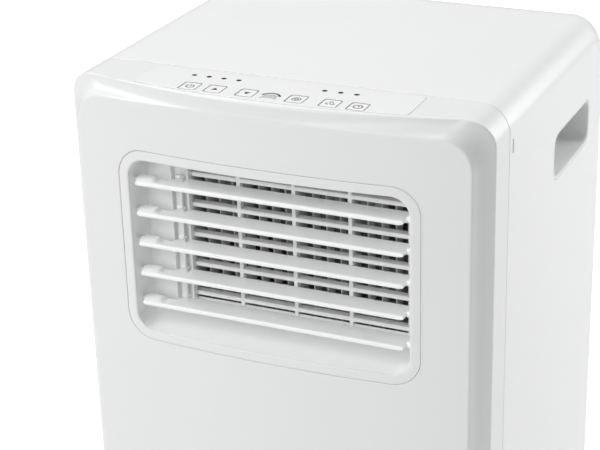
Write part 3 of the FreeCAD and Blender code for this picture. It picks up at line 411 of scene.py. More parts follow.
def shell_section(index):
    """The front shell's section at one place round its outline, from the seam to the face."""
    right, up, out = rim_line[index]
    face_right, face_up, face_out = face_line[index]
    depth = rim_depth(right, up)
    middle = 1 - ease(abs(right), 20, 120) if up > -1 else 0.0
    rim_round, face_edge_round = 1.1 + 1.6 * middle, 1.5
    edge = at(right, depth, up)
    inside = at(face_right, bow(face_right), face_up)
    out_pull, back_pull = 0.23, 0.67
    hollow = at(face_right + out_pull * (right - face_right),
                bow(face_right) + back_pull * (depth - bow(face_right)), face_up + out_pull * (up - face_up))
    cove = curve3(inside, hollow, edge, 40)
    start = next(i for i, p in enumerate(cove) if (p - inside).length > face_edge_round / 1000)
    end = next(i for i in range(40, 0, -1) if (cove[i] - edge).length > rim_round / 1000)
    inset = 1.6
    inner = (face_right - face_out[0] * inset, face_up - face_out[1] * inset)
    inner_point = at(inner[0], bow(inner[0]), inner[1])
    strip_end = seam_back - 0.35
    strip = [at(right, strip_end + (depth + rim_round - strip_end) * i / 6, up) for i in range(7)]
    section = [at(right - out[0] * wall, seam_back - 6, up - out[1] * wall),
               at(right - out[0] * wall, seam_back, up - out[1] * wall),
               at(right - out[0] * 0.35, seam_back, up - out[1] * 0.35)]
    section += strip[:-1] + curve3(strip[-1], edge, cove[end], 5)
    section += cove[end - 1:start:-3]
    section += curve3(cove[start], inside, inner_point, 5)
    return section


shell = Moulding()
sections = [shell_section(i) for i in range(len(rim_line))]
longest = max(len(section) for section in sections)


def even(points, count):
    """The same line divided into a fixed number of points, keeping its ends and its tight bends."""
    while len(points) < count:
        widest = max(range(9, len(points) - 7), key=lambda i: (points[i + 1] - points[i]).length)
        points.insert(widest + 1, points[widest].lerp(points[widest + 1], 0.5))
    return points


sections = [even(section, longest) for section in sections]
shell.sheet([list(row) for row in zip(*sections)])
hidden_half, hidden_front, hidden_rear = 92.0, 16.5, 46.2
under_film = [face for face in shell.form.faces
              if all(abs(v.co.x) * 1000 < hidden_half and hidden_front < back_of(v.co.y) < hidden_rear and
                     level_of(v.co.z) > -1 for v in face.verts)]
bmesh.ops.delete(shell.form, geom=under_film, context="FACES_ONLY")
face_edge = [section[-1] for section in sections]

grille_low, grille_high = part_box("outlet_grille")
grille_half = grille_high.x * 1000
grille_top = level_of(grille_high.z)
grille_bottom = level_of(grille_low.z)
grille_round = 20.0


def rounded_loop(half, top, bottom, radius, bend_steps=12, long_steps=44, tall_steps=28):
    """A rounded rectangle on the front, as (right, up, outward) points, clockwise from bottom left."""
    middle = (top + bottom) / 2
    corners = [(-half, bottom, math.pi, tall_steps), (-half, top, math.pi / 2, long_steps),
               (half, top, 0.0, tall_steps), (half, bottom, -math.pi / 2, long_steps)]
    points = []
    for number, (right, up, after, steps) in enumerate(corners):
        centre = (right - math.copysign(radius, right), up - math.copysign(radius, up - middle))
        for i in range(bend_steps):
            turn = after + math.pi / 2 - math.pi / 2 * i / bend_steps
            out = (math.cos(turn), math.sin(turn))
            points.append((centre[0] + radius * out[0], centre[1] + radius * out[1], out))
        turn = after
        out = (math.cos(turn), math.sin(turn))
        following = corners[(number + 1) % 4]
        next_centre = (following[0] - math.copysign(radius, following[0]),
                       following[1] - math.copysign(radius, following[1] - middle))
        for i in range(steps):
            share = i / steps
            points.append((centre[0] + (next_centre[0] - centre[0]) * share + radius * out[0],
                           centre[1] + (next_centre[1] - centre[1]) * share + radius * out[1], out))
    return points


def loop_row(loop, grow, back):
    """One ring of points: the loop grown outwards, lying on the bowed face and set back from it."""
    return [at(right + out[0] * grow, bow(right) + back, up + out[1] * grow) for right, up, out in loop]


window_loop = rounded_loop(grille_half + 0.18, grille_top + 0.18, grille_bottom - 0.18, grille_round + 0.18)
window_edge = loop_row(window_loop, 1.0, 0.0)
shell.sheet([window_edge, loop_row(window_loop, 0.45, 0.04), loop_row(window_loop, 0.12, 0.25),
             loop_row(window_loop, 0.0, 0.7), loop_row(window_loop, 0.0, 3.0)], closed=True)


def inside_loop(point, loop):
    """Whether a flat point lies inside a closed loop of flat points."""
    hit = False
    for (ax, ay), (bx, by) in zip(loop, loop[1:] + loop[:1]):
        if (ay > point[1]) != (by > point[1]) and point[0] < (bx - ax) * (point[1] - ay) / (by - ay) + ax:
            hit = not hit
    return hit


def fill_plane(outer, holes, spacing, margin=0.45):
    """Triangles that fill a flat outline with holes, over an even lattice of points."""
    loops = [outer] + holes
    points, edges = [], []
    for loop in loops:
        first = len(points)
        points += [Vector(p) for p in loop]
        edges += [(first + i, first + (i + 1) % len(loop)) for i in range(len(loop))]
    rim = list(points)
    xs, ys = [p[0] for p in outer], [p[1] for p in outer]
    columns, rows = int((max(xs) - min(xs)) / spacing), int((max(ys) - min(ys)) / spacing)
    for i in range(1, columns):
        for j in range(1, rows):
            spot = Vector((min(xs) + (max(xs) - min(xs)) * i / columns,
                           min(ys) + (max(ys) - min(ys)) * j / rows))
            if inside_loop(spot, outer) and not any(inside_loop(spot, hole) for hole in holes):
                if min((spot - p).length_squared for p in rim) > (margin * spacing) ** 2:
                    points.append(spot)
    made = delaunay_2d_cdt(points, edges, [], 0, 1e-6)
    triangles = []
    for corners in made[2]:
        spots = [made[0][i] for i in corners]
        centre = (spots[0] + spots[1] + spots[2]) / 3
        if inside_loop(centre, outer) and not any(inside_loop(centre, hole) for hole in holes):
            triangles.append([(p.x, p.y) for p in spots])
    return triangles


def flat_of(point):
    return (point.x * 1000, level_of(point.z))


bottom_run = [at(-x, bow(x), shell_bottom) for x in range(-133, 134, 7)]
face_loop = [flat_of(p) for p in face_edge + bottom_run]
window_flat = [flat_of(p) for p in window_edge]
for corners in fill_plane(face_loop, [window_flat], 8.0):
    shell.face([at(x, bow(x), z) for x, z in corners])
shell.sheet([[at(x, bow(x) + step, shell_bottom) for step in (0, wall)] for x in range(-140, 141, 7)],
            flip=True)
shell.finish("front_shell_skin", "cabinet", shell_white, "white_shell", ("front_shell",), sharp=38)


# Outlet grille: a separate satin moulding that snaps into the front shell's window.
# Its flat rim follows the bow of the face; behind it a tunnel ends in a grid of bars, with a plain
# wall behind the louver link at the left and a scoop that sweeps up from the bottom of the rim.
rim_white = moulded("rim_white", (0.79, 0.795, 0.795), 0.3, relief=0.000012, dust=0.03, worn=0.2,
                    drift=0.006)
# The tunnel, grid, link guide, louvers and link get a paler white than the rim of the same moulding: painted
# light that lifts the shade inside the recess.
recess_white_painted_light = moulded("recess_white_painted_light", (0.93, 0.935, 0.935), 0.3, relief=0.000015, dust=0.03, worn=0.2,
                       drift=0.006)
rim_width, tunnel_back, plate_front, plate_depth = 7.5, 33.0, 31.5, 6.2
opening_half, opening_top, opening_bottom = grille_half - rim_width, grille_top - 7, grille_bottom + 7
grille = Moulding()
outer_loop = rounded_loop(grille_half, grille_top, grille_bottom, grille_round)
inner_loop = rounded_loop(opening_half, opening_top, opening_bottom, 13.0)
rim_rows = [loop_row(outer_loop, 0.0, 3.5), loop_row(outer_loop, 0.0, 0.55),
            loop_row(outer_loop, -0.12, 0.2),
            loop_row(outer_loop, -0.5, 0.02)]
rim_start, rim_end = loop_row(outer_loop, -0.9, 0.0), loop_row(inner_loop, 1.3, 0.0)
rim_rows += [[a.lerp(b, i / 3) for a, b in zip(rim_start, rim_end)] for i in range(4)]
rim_rows += [loop_row(inner_loop, 0.6, 0.12), loop_row(inner_loop, 0.15, 0.5),
             loop_row(inner_loop, 0.0, 1.2)]


def tunnel_row(back):
    """One ring of the tunnel wall; its floor rises in a hollow sweep towards the back."""
    share = min(1.0, back / tunnel_back)
    rise = 17.0 * (1 - math.sqrt(max(0.0, 1 - share ** 1.7)))
    row = []
    for right, up, out in inner_loop:
        lift = rise * ease(-up, 120, -opening_bottom - 8)
        row.append(at(right - out[0] * 0.6 * share, max(bow(right) * (1 - share) + back, bow(right) + 1.2),
                      up - out[1] * 0.6 * share + lift))
    return row


tunnel_rows = [rim_rows[-1]] + [tunnel_row(back)
                                for back in (2.5, 5, 8, 12, 16, 20, 24, 27, 29, 31, tunnel_back)]
grille.sheet(rim_rows, closed=True)
grille.sheet(tunnel_rows, closed=True, paint=1)
grille.finish("outlet_grille_frame", "cabinet", [rim_white, recess_white_painted_light], "white_grille",
              ("outlet_grille",),
              sharp=38)

# Grid of the outlet grille: bars moulded in one plate at the back of the tunnel.
# Two slots lie between each pair of louvers, and every bar has a softly rounded edge.
plate = Moulding()
post_places = (-70.5, -32.0, 9.0, 50.0)
post_width, bar_height, bar_pitch, bar_first = 2.8, 3.1, 11.25, -58.55
columns = [-opening_half, post_places[0] - post_width / 2]
for place in post_places:
    columns += [place - post_width / 2, place + post_width / 2]
columns = sorted(set(columns)) + [90.0, opening_half]
levels = [opening_bottom + 12, -177.0]
for i in range(10, -1, -1):
    levels += [bar_first - i * bar_pitch - bar_height / 2, bar_first - i * bar_pitch + bar_height / 2]
levels += [opening_top - 0.2, opening_top + 2]
levels.sort()
post_starts = {round(place - post_width / 2, 3) for place in post_places}
for low, high in zip(levels, levels[1:]):
    in_bar = any(abs((low + high) / 2 - (bar_first - i * bar_pitch)) < 0.1 for i in range(11))
    outside = high > opening_top or low < -178 or (low + high) / 2 < -176
    for left, right in zip(columns, columns[1:]):
        if in_bar or outside or left < -75 or round(left, 3) in post_starts:
            plate.face([at(left, plate_front, low), at(right, plate_front, low),
                        at(right, plate_front, high), at(left, plate_front, high)])
plate.sound().extrude(back=plate_depth)
plate.finish("outlet_grille_grid", "cabinet", recess_white_painted_light, "white_grille", bevel=0.00045)

# Link guide: the shallow channel in the grille's plain wall, with the thin rib and the post beside it.
guide = Moulding()
guide_top, guide_bottom, guide_back = opening_top - 1.0, opening_bottom + 12, 31.8
for left, right, front in ((-82.2, -80.8, 27.0), (-68.9, -67.4, 26.5), (-103.0, -82.0, 29.6)):
    guide.block((left, front, guide_bottom), (right, guide_back, guide_top))
guide.block((90.6, plate_front + 1.4, guide_bottom), (opening_half, plate_front + plate_depth, guide_top))
guide.sound().finish("link_guide", "cabinet", recess_white_painted_light, "white_grille", bevel=0.0005, segments=3)


# Louvers: five satin blades, each a rounded nose with a thin tail behind it.
# At the left the tail is shorter and carries a thick rounded lip, then a round tongue reaches back to
# the crank pin for the link; the right end is cut back under the nose and has a bright pivot tab.
louver_half, blade_front, blade_rear, blade_thick, nose_round = 97.4, -9.0, 9.0, 1.1, 1.85
arm_place, pin_back = -71.5, 13.0
louver_joints = [joint for joint in frame["joints"] if joint["name"].endswith("_tilt")]


def blade_outline(right):
    """The blade's section at one place along it: (back, up) pairs round the outline."""
    tongue = 6.0 * math.sqrt(max(0.0, 1 - ((right - arm_place) / 4.4) ** 2))
    rear = 2.0 + max(tongue, (blade_rear - 2.0) * ease(right, -66.9, -66.1))
    lip = 2.3 * (1 - ease(right, -86.5, -82.0))
    cut = 1.3 * ease(right, 93.5, 97.4)
    outline = [(blade_front + 2.6, nose_round - 0.12 + 0.4 * lip),
               (blade_front + 4.5, nose_round - 0.4 + 0.8 * lip),
               (rear - 4.8, blade_thick + 0.1 + 0.97 * lip), (rear - 3.4, blade_thick + 0.2 + lip),
               (rear - 2.0, blade_thick + 0.25 + lip), (rear - 0.9, blade_thick + 0.2 + 0.93 * lip),
               (rear - 0.25, blade_thick + 0.1 + 0.65 * lip), (rear, blade_thick - 0.1), (rear, -0.4),
               (rear - 0.4, -blade_thick), (0.0, -blade_thick), (blade_front + 6, -blade_thick)]
    for angle in range(-70, -261, -15):
        turn = math.radians(angle)
        up = nose_round * math.sin(turn)
        outline.append((blade_front + nose_round * (1 + math.cos(turn)), max(up, -nose_round + cut)))
    return outline


def on_louver(joint, right, back, up):
    """A point of a louver, in millimetres from its own pivot."""
    centre = Vector(joint["pos_m"])
    return Vector((right / 1000, centre.y + back / 1000, centre.z + up / 1000))


left_end = [-louver_half, -louver_half + 0.2, -louver_half + 0.7]
stations = left_end + [-95 + 0.5 * i for i in range(64)] + [-63 + 6 * i for i in range(27)]
stations += [93.5, 94.5, 95.5] + [-right for right in left_end[::-1]]
for number, joint in enumerate(louver_joints, start=1):
    louver = Moulding()
    rows = []
    for right in stations:
        end_gap = louver_half - abs(right)
        shrink = 0.0 if end_gap >= 0.65 else (0.2 if end_gap > 0.1 else 0.5)
        row = []
        for back, up in blade_outline(right):
            share = shrink / max(0.9, abs(up))
            row.append(on_louver(joint, right, back * (1 - 0.05 * share), up * (1 - share)))
        rows.append(row)
    louver.sheet(rows, closed=True, flip=True)
    louver.face(rows[0])
    louver.face(rows[-1][::-1])
    for side in (-1, 1):
        disc = [[on_louver(joint, side * right, back, up) for back, up in circle(0, 0, reach, 24)]
                for right, reach in ((97.0, 2.4), (98.9, 2.6), (99.6, 2.6), (99.8, 2.4), (99.8, 1.5),
                                     (103.5, 1.5),
                                     (103.7, 1.2))]
        louver.sheet(disc, closed=True, flip=side < 0)
        louver.face(disc[-1] if side < 0 else disc[-1][::-1])
    arm = [[on_louver(joint, right, back, up) for right, up in circle(arm_place, 0, size, 4, 45)]
           for back, size in ((6.5, 0.9), (7.0, 1.0), (pin_back + 0.2, 1.0), (pin_back + 0.7, 0.85))]
    louver.sheet(arm, closed=True, flip=True)
    louver.face(arm[-1])
    pin = [[on_louver(joint, right, back, up) for back, up in circle(pin_back, 0, reach, 18)]
           for right, reach in ((-72.0, 1.0), (-77.2, 1.0), (-77.5, 0.7))]
    louver.sheet(pin, closed=True)
    louver.face(pin[-1])
    name = f"louver_{number}"
    louver.finish(name + "_blade", joint["child"], recess_white_painted_light, "white_grille", (name,), sharp=48)

# Louver link: the upright bar that clips over the five crank pins.
# It has an eye at each pin, a little wider than the bar, and its edges are rounded.
link_low, link_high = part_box("louver_link")
link = Moulding()
link_middle, eye_radius = back_of((link_low.y + link_high.y) / 2), 2.0
half_line = []
for joint in louver_joints:
    for turn in (math.radians(angle) for angle in range(50, -51, -10)):
        half_line.append((eye_radius * math.cos(turn),
                          level_of(joint["pos_m"][2]) + eye_radius * math.sin(turn)))
link_line = half_line + [(-back, up) for back, up in half_line[::-1]]
link.prism([[at(right * 1000, link_middle + back, up) for back, up in link_line]
            for right in (link_low.x, link_high.x)])
link.sound().finish("louver_link_bar", "link_body", recess_white_painted_light, "white_grille", ("louver_link",),
                    bevel=0.0004)

# Upright vanes: fixed pale fins between two rails, just behind the grid, that spread the air sideways.
# Each fin is thin at the front and back and thickest at a third of its depth.
vane_low, vane_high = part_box("vertical_vanes")
vane_white = moulded("vane_white", (0.76, 0.77, 0.77), 0.45, relief=0.00003, dust=0.12, worn=0.1)
vanes = Moulding()
vane_bottom, vane_top = level_of(vane_low.z), level_of(vane_high.z)
vane_near, vane_far = back_of(vane_low.y), back_of(vane_high.y)
vane_count, vane_pitch, rail_tall = 19, 10.0, 2
fin_section = [(0.0, 0.25), (0.1, 0.5), (0.35, 0.65), (0.7, 0.5), (1.0, 0.3)]
fin_outline = [(-width, share) for share, width in fin_section] + [(w, share) for share,
                                                                   w in fin_section[::-1]]
for i in range(vane_count):
    middle = (i - (vane_count - 1) / 2) * vane_pitch
    vanes.sheet([[at(middle + right, vane_near + share * (vane_far - vane_near), up) for right,
                  share in fin_outline]
                 for up in (vane_bottom + 1.0, vane_top - 1.0)], closed=True)
for low in (vane_bottom, vane_top - rail_tall):
    vanes.block((vane_low.x * 1000, vane_near, low), (vane_high.x * 1000, vane_far, low + rail_tall))
vanes.sound().finish("upright_vanes", "cabinet", vane_white, "tray_grey", ("vertical_vanes",), sharp=50)


# Control overlay: a thin glossy film let into the top of the front shell, its front edge bowed.
# It is white with grey print: a rounded frame round every key and one arc of rays at the middle.
film_white = moulded("film_white", (0.9, 0.905, 0.905), 0.16, relief=0.000004, dust=0.02, worn=0.3,
                     drift=0.004,
                     coat=0.4)
# Dark grey for the printed marks, also used for the painted shadow band round the film.
ink_and_painted_shadow_grey = moulded("ink_and_painted_shadow_grey", (0.035, 0.035, 0.038), 0.45, relief=0.000004, dust=0.0, worn=0.0)
film_half, film_rear, film_end, film_middle = 98.0, 48.2, 12.4, 4.6
film_top = -0.08
button_half_wide, button_half_deep, button_row, key_round = 5.6, 6.3, 15.8, 1.3
keys = {"power": -56.1, "up": -37.8, "down": -14.6, "mode": 20.8, "fan": 44.4, "timer": 63.4}
lamps = (-63.6, -52.6, -41.6, -30.6, 31.4, 42.7, 54.0)
lamp_row, lamp_radius = 37.0, 1.8


def round_corners(corners, radius, steps=5):
    """A flat outline with every corner rounded by a small curve."""
    points = []
    count = len(corners)
    for i, corner in enumerate(corners):
        corner = Vector(corner)
        before, after = Vector(corners[i - 1]), Vector(corners[(i + 1) % count])
        reach = min(radius, (before - corner).length * 0.45, (after - corner).length * 0.45)
        start = corner + (before - corner).normalized() * reach
        end = corner + (after - corner).normalized() * reach
        points += [tuple(p) for p in curve3(start, corner, end, steps)]
    return points


def key_outline(middle, grow, radius=key_round):
    wide, deep = button_half_wide + grow, button_half_deep + grow
    return round_corners([(middle - wide, button_row - deep), (middle - wide, button_row + deep),
                          (middle + wide, button_row + deep), (middle + wide, button_row - deep)],
                          radius + grow)


def film_front(right):
    return film_end - (film_end - film_middle) * (1 - (right / film_half) ** 2)


front_run = [(x, film_front(x)) for x in range(96, -97, -4)]
film_corners = [(-97.8, 15.5), (-98.4, 21.0), (-96.2, 44.0), (-92.5, 47.9), (-88.0, film_rear)]
film_line = front_run + film_corners + [(94.0, film_rear), (97.6, 47.4), (98.2, 45.0), (98.4, 16.0),
                                        (98.0, 13.4)]
film_line = [(float(x), float(y)) for x, y in film_line]


def grown(outline, amount):
    """The outline moved outwards by an amount, for a flat closed line."""
    moved = []
    count = len(outline)
    area = sum(outline[i - 1][0] * outline[i][1] - outline[i][0] * outline[i - 1][1] for i in range(count))
    side = 1 if area > 0 else -1
    for i in range(count):
        ahead_way = Vector(outline[(i + 1) % count]) - Vector(outline[i - 1])
        normal = Vector((ahead_way.y, -ahead_way.x)).normalized() * side
        moved.append((outline[i][0] + normal.x * amount, outline[i][1] + normal.y * amount))
    return moved


film = Moulding()
key_holes = [key_outline(x, 0.3) for x in keys.values()]
lamp_holes = [circle(x, lamp_row, lamp_radius + 0.1, 18) for x in lamps]
for corners in fill_plane(grown(film_line, -0.35), key_holes + lamp_holes, 9.0):
    film.face([at(x, y, film_top) for x, y in corners])
film_edges = [(0.0, -0.75), (0.0, film_top - 0.2), (-0.1, film_top - 0.06), (-0.35, film_top)]
film.sheet([[at(x, y, up) for x, y in grown(film_line, grow)] for grow, up in film_edges], closed=True)
for hole in key_holes + lamp_holes:
    film.sheet([[at(x, y, film_top) for x, y in hole], [at(x, y, -1.2) for x, y in hole]], closed=True)
film.sound().finish("control_film", "cabinet", film_white, "overlay_film", ("control_overlay",), sharp=45)

# Printed marks: ink lines a hair thick, laid on the film and on the keys, and a dark band of painted shadow
# round the film's edge on the shell.
ink_depth = 0.03


class Print(Moulding):
    """Flat ink shapes at one height, in millimetres across and back; also draws the painted shadow band round
    the film.
    """

    def __init__(self, height, centre=(0.0, 0.0)):
        super().__init__()
        self.height, self.centre = height, centre

    def spot(self, x, y):
        return at(self.centre[0] + x, self.centre[1] + y, self.height)

    def area(self, outline):
        self.face([self.spot(x, y) for x, y in outline])

    def band(self, outline, width, closed=True):
        """A line of ink of even width that follows the outline."""
        count = len(outline)
        left, right = [], []
        for i in range(count):
            before = outline[i - 1] if closed or i else outline[i]
            after = outline[(i + 1) % count] if closed or i + 1 < count else outline[i]
            run = (Vector(after) - Vector(before)).normalized()
            side = Vector((run.y, -run.x)) * width / 2
            left.append(self.spot(outline[i][0] - side.x, outline[i][1] - side.y))
            right.append(self.spot(outline[i][0] + side.x, outline[i][1] + side.y))
        self.sheet([left, right], closed=closed)

    def ring(self, radius, width, start=0, end=360, x=0.0, y=0.0):
        steps = max(6, int(abs(end - start) / 12))
        whole = end - start >= 360
        points = [(x + radius * math.cos(math.radians(start + (end - start) * i / steps)),
                   y + radius * math.sin(math.radians(start + (end - start) * i / steps)))
                  for i in range(steps if whole else steps + 1)]
        self.band(points, width, closed=whole)

    def settle(self, name, body):
        """Makes the ink look up, gives it its thickness and sets it on its body."""
        self.sound()
        for face in self.form.faces:
            if face.normal.z < 0:
                face.normal_flip()
        self.extrude(up=ink_depth).finish(name, body, ink_and_painted_shadow_grey, "overlay_film")


marks = Print(film_top - 0.005, (2.6, 14.4))
marks.ring(6.4, 1.6, 14, 166)
for i in range(-3, 4):
    for near in (0.0, 2.5, 5.0):
        spread = 1.25 + 0.09 * near
        drop = near + 0.12 * i * i
        marks.band([(i * spread, 3.6 - drop), (i * (spread + 0.1), 2.0 - drop)], 0.7, closed=False)
marks.settle("arc_mark", "cabinet")
# A thin dark band round the film's edge, on the shell strip: painted shadow standing for the gap where the
# film meets the shell.
film_shadow = Print(strip_top + 0.01)
film_shadow.band(grown(film_line, 0.08), 0.16)
film_shadow.settle("film_edge_painted_shadow", "cabinet")


# Key caps: six small moulded caps standing in cut-outs of the film, each on a switch plunger.
# The caps are satin white, rounded on top, with one printed symbol each.
cap_white = moulded("cap_white", (0.86, 0.865, 0.865), 0.3, relief=0.000008, dust=0.02, worn=0.3,
                    drift=0.006)
cap_top, stem_half = -0.12, 2.0


def key_symbol(marks, kind):
    """Draws one plain symbol on a cap, about its own middle."""
    if kind == "power":
        marks.ring(2.7, 0.85, 125, 415)
        marks.band([(0, 0.4), (0, 3.4)], 0.85, closed=False)
    elif kind == "up":
        marks.area([(-2.4, -1.7), (2.4, -1.7), (0, 2.3)])
    elif kind == "down":
        marks.area([(-2.4, 1.7), (0, -2.3), (2.4, 1.7)])
    elif kind == "mode":
        marks.ring(2.9, 0.65)
        marks.ring(1.3, 0.8)
    elif kind == "fan":
        for turn in (90, 210, 330):
            way = math.radians(turn)
            marks.ring(1.2, 0.8, turn - 100, turn + 100, 1.7 * math.cos(way), 1.7 * math.sin(way))
        marks.ring(0.4, 0.6)
    else:
        marks.ring(2.9, 0.8)
        marks.band([(0, 1.9), (0, 0), (1.5, 0)], 0.7, closed=False)


for kind, middle in keys.items():
    cap = Moulding()
    rows = [(1.2, -4.6), (1.2, -3.6), (0.0, -3.6), (0.0, cap_top - 0.45), (-0.12, cap_top - 0.16),
            (-0.45, cap_top)]
    cap.sheet([[at(x, y, up) for x, y in key_outline(middle, grow)] for grow, up in rows], closed=True)
    for corners in fill_plane(key_outline(middle, -0.45), [], 2.4):
        cap.face([at(x, y, cap_top) for x, y in corners])
    stem = [[at(middle + stem_half * x, button_row + stem_half * y, up)
             for x, y in ((-1, -1), (1, -1), (1, 1), (-1, 1))] for up in (-2.6, -8.0)]
    cap.sheet(stem, closed=True)
    cap.sound().finish(f"{kind}_cap", f"{kind}_key", cap_white, "button_white", (f"button_{kind}",),
                       sharp=40)
    sign = Print(cap_top - 0.005, (middle, button_row))
    key_symbol(sign, kind)
    sign.settle(f"{kind}_symbol", f"{kind}_key")
    edge_line = Print(film_top - 0.012)
    edge_line.band(key_outline(middle, 0.5), 0.55)
    edge_line.settle(f"{kind}_frame_line", "cabinet")

# Lamp lenses: seven small dark windows over the lamps on the control board.
# Each is a smoked dome that barely stands above the film.
lens_dark = moulded("lens_dark", (0.004, 0.004, 0.005), 0.5, relief=0.000002, dust=0.0, worn=0.02, ior=1.3)
lenses = Moulding()
lens_profile = [(lamp_radius, -1.4), (lamp_radius, -0.28), (lamp_radius - 0.12, -0.22), (0.8, -0.2),
                (0.05, -0.19)]
for x in lamps:
    rings = [[at(right, back, up) for right, back in circle(x, lamp_row, reach, 18)] for reach,
             up in lens_profile]
    lenses.sheet(rings, closed=True)
    lenses.face(rings[-1])
lenses.sound().finish("lamp_lenses", "cabinet", lens_dark, "dark_lens", ("led_lenses",))

# Rear housing: the top, both sides and the back in one white moulding, rounded towards the back.
# It slips over the front shell's lip at a fine seam; grips, latch windows and rear openings pierce it.
housing_white = moulded("housing_white", (0.83, 0.835, 0.835), 0.3, relief=0.000012, dust=0.03, worn=0.2,
                        drift=0.006)
back_y = back_of(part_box("rear_housing")[1].y)
housing_front, lip_round = seam_back + 0.65, 0.35
housing = Moulding()
back_line = hood_outline(127.5, -50.0, 12.0, shell_bottom)


def housing_point(index, turn):
    """A point on the rounded rear shoulder: turn 0 is on the side or top, 90 degrees is on the back."""
    right, up = rim_line[index][:2]
    back_right, back_up = back_line[index][:2]
    reach = 25.0 + 25.0 * ease(up, -60, -4)
    share, sink = 1 - math.cos(turn), 1 - math.sin(turn)
    return at(right + (back_right - right) * share, back_y - reach * sink, up + (back_up - up) * share)


def flat_side(side):
    """One flat side of the housing, with the finger grip's and the latch window's holes."""
    near, far = housing_front + lip_round, back_y - 25.0
    levels = [rim_line[i][1] for i in range(side_steps + 1)]
    line = [(near, levels[0])] + [(far, up) for up in levels] + [(near, up) for up in levels[:0:-1]]
    for corners in fill_plane(line, [grip_hole, latch_hole], 16.0):
        housing.face([at(side * side_x, back, up) for back, up in corners])
    for hole, depth in ((grip_hole, 2.6), (latch_hole, 9.0)):
        housing.sheet([[at(side * (side_x - inset), back, up) for back, up in hole]
                       for inset in (0.0, depth)], closed=True)


def oblong(centre, half_wide, half_tall, radius, steps=6):
    """A flat rectangle with rounded corners about a centre."""
    return round_corners([(centre[0] + wide * half_wide, centre[1] + tall * half_tall)
                          for wide, tall in ((-1, -1), (-1, 1), (1, 1), (1, -1))], radius, steps)


grip_low, grip_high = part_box("side_grips")
grip_spot = (back_of((grip_low.y + grip_high.y) / 2), level_of((grip_low.z + grip_high.z) / 2))
grip_half, grip_tall = (grip_high.y - grip_low.y) * 500, (grip_high.z - grip_low.z) * 500
grip_hole = oblong(grip_spot, grip_half + 0.3, grip_tall + 0.3, 12.0)
latch_hole = oblong((59.0, -30.2), 1.45, 5.0, 0.9)

shoulder = [[housing_point(i, math.radians(6 * step)) for i in range(len(rim_line))] for step in range(16)]
housing.sheet(shoulder)
top_rows = []
for share in (0.0, 0.004, 0.25, 0.5, 0.75, 1.0):
    row = []
    for i in range(side_steps, side_steps + 2 * bend_steps + top_steps + 1):
        right, up, out = rim_line[i]
        row.append(at(right, housing_front + lip_round, up).lerp(housing_point(i, 0.0), share))
    top_rows.append(row)
housing.sheet(top_rows)
flat_side(-1)
flat_side(1)
lip_rows = []
for inset, step in ((0.0, lip_round), (0.1, 0.12), (lip_round, 0.0), (wall, 0.0), (wall, 8.0)):
    lip_rows.append([at(right - out[0] * inset, housing_front + step, up - out[1] * inset)
                     for right, up, out in rim_line])
housing.sheet(lip_rows)

# Rear face of the housing: two wide windows for the filter covers, a round one for the exhaust collar,
# and small holes for the plugs and the cord bush.
collar_low, collar_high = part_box("exhaust_collar")
plug_boxes = {name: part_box(name) for name in ("upper_drain_plug", "lower_drain_plug")}
cord_low, cord_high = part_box("cord_inlet")


def rear_spot(low, high):
    """The middle of a box on the rear face, in millimetres across and up."""
    return ((low.x + high.x) * 500, level_of((low.z + high.z) / 2))


rear_holes = []
for name, window_tall in (("upper_filter_mesh", 77.0), ("lower_filter_mesh", 93.0)):
    rear_holes.append(oblong((0.0, rear_spot(*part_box(name))[1]), 110.0, window_tall, 6.0))
rear_holes += [circle(0.0, rear_spot(collar_low, collar_high)[1], 70.4, 72),
               circle(*rear_spot(cord_low, cord_high), 9.2, 32)]
rear_holes += [circle(*rear_spot(*ends), 5.3, 24) for ends in plug_boxes.values()]
back_outline = [flat_of(p) for p in shoulder[-1]] + [(x, shell_bottom) for x in range(120, -121, -8)]
for corners in fill_plane(back_outline, rear_holes, 14.0):
    housing.face([at(x, back_y, up) for x, up in corners])
for hole in rear_holes:
    housing.sheet([[at(x, back_y - step, up) for x, up in hole] for step in (0.0, 2.5)], closed=True)
housing.sound()
outside = max(housing.form.faces, key=lambda face: face.calc_center_median().x)
if outside.normal.x < 0:
    bmesh.ops.reverse_faces(housing.form, faces=housing.form.faces)
housing.finish("rear_housing_skin", "cabinet", housing_white, "white_housing", ("rear_housing",), sharp=38)

# Finger grips: two shallow pockets clipped into the housing's sides, open outwards, each with a
# rounded rim that lies flush with the side and a curved inner wall for the fingers.
grip_white = moulded("grip_white", (0.79, 0.795, 0.795), 0.4, relief=0.00002, dust=0.08, worn=0.2)
grips = Moulding()
for side in (-1, 1):
    rings = []
    for inset, shrink in ((1.2, -0.1), (0.25, -0.1), (0.05, 0.15), (0.0, 0.6), (0.0, 1.2), (0.5, 1.9),
                          (2.0, 2.4),
                          (14.0, 3.4), (21.0, 5.0), (24.5, 8.0), (25.6, 12.0)):
        loop = oblong(grip_spot, grip_half - shrink, grip_tall - shrink, max(3.0, 12.0 - shrink))
        rings.append([at(side * (side_x - inset), back, up) for back, up in loop])
    grips.sheet(rings, closed=True)
    grips.face(rings[-1])
for face in grips.sound().form.faces:
    centre = face.calc_center_median()
    if abs(centre.x) < 0.128 and face.normal.x * centre.x < 0:
        face.normal_flip()
grips.finish("side_grips_pockets", "cabinet", grip_white, "white_housing", ("side_grips",), sharp=45)


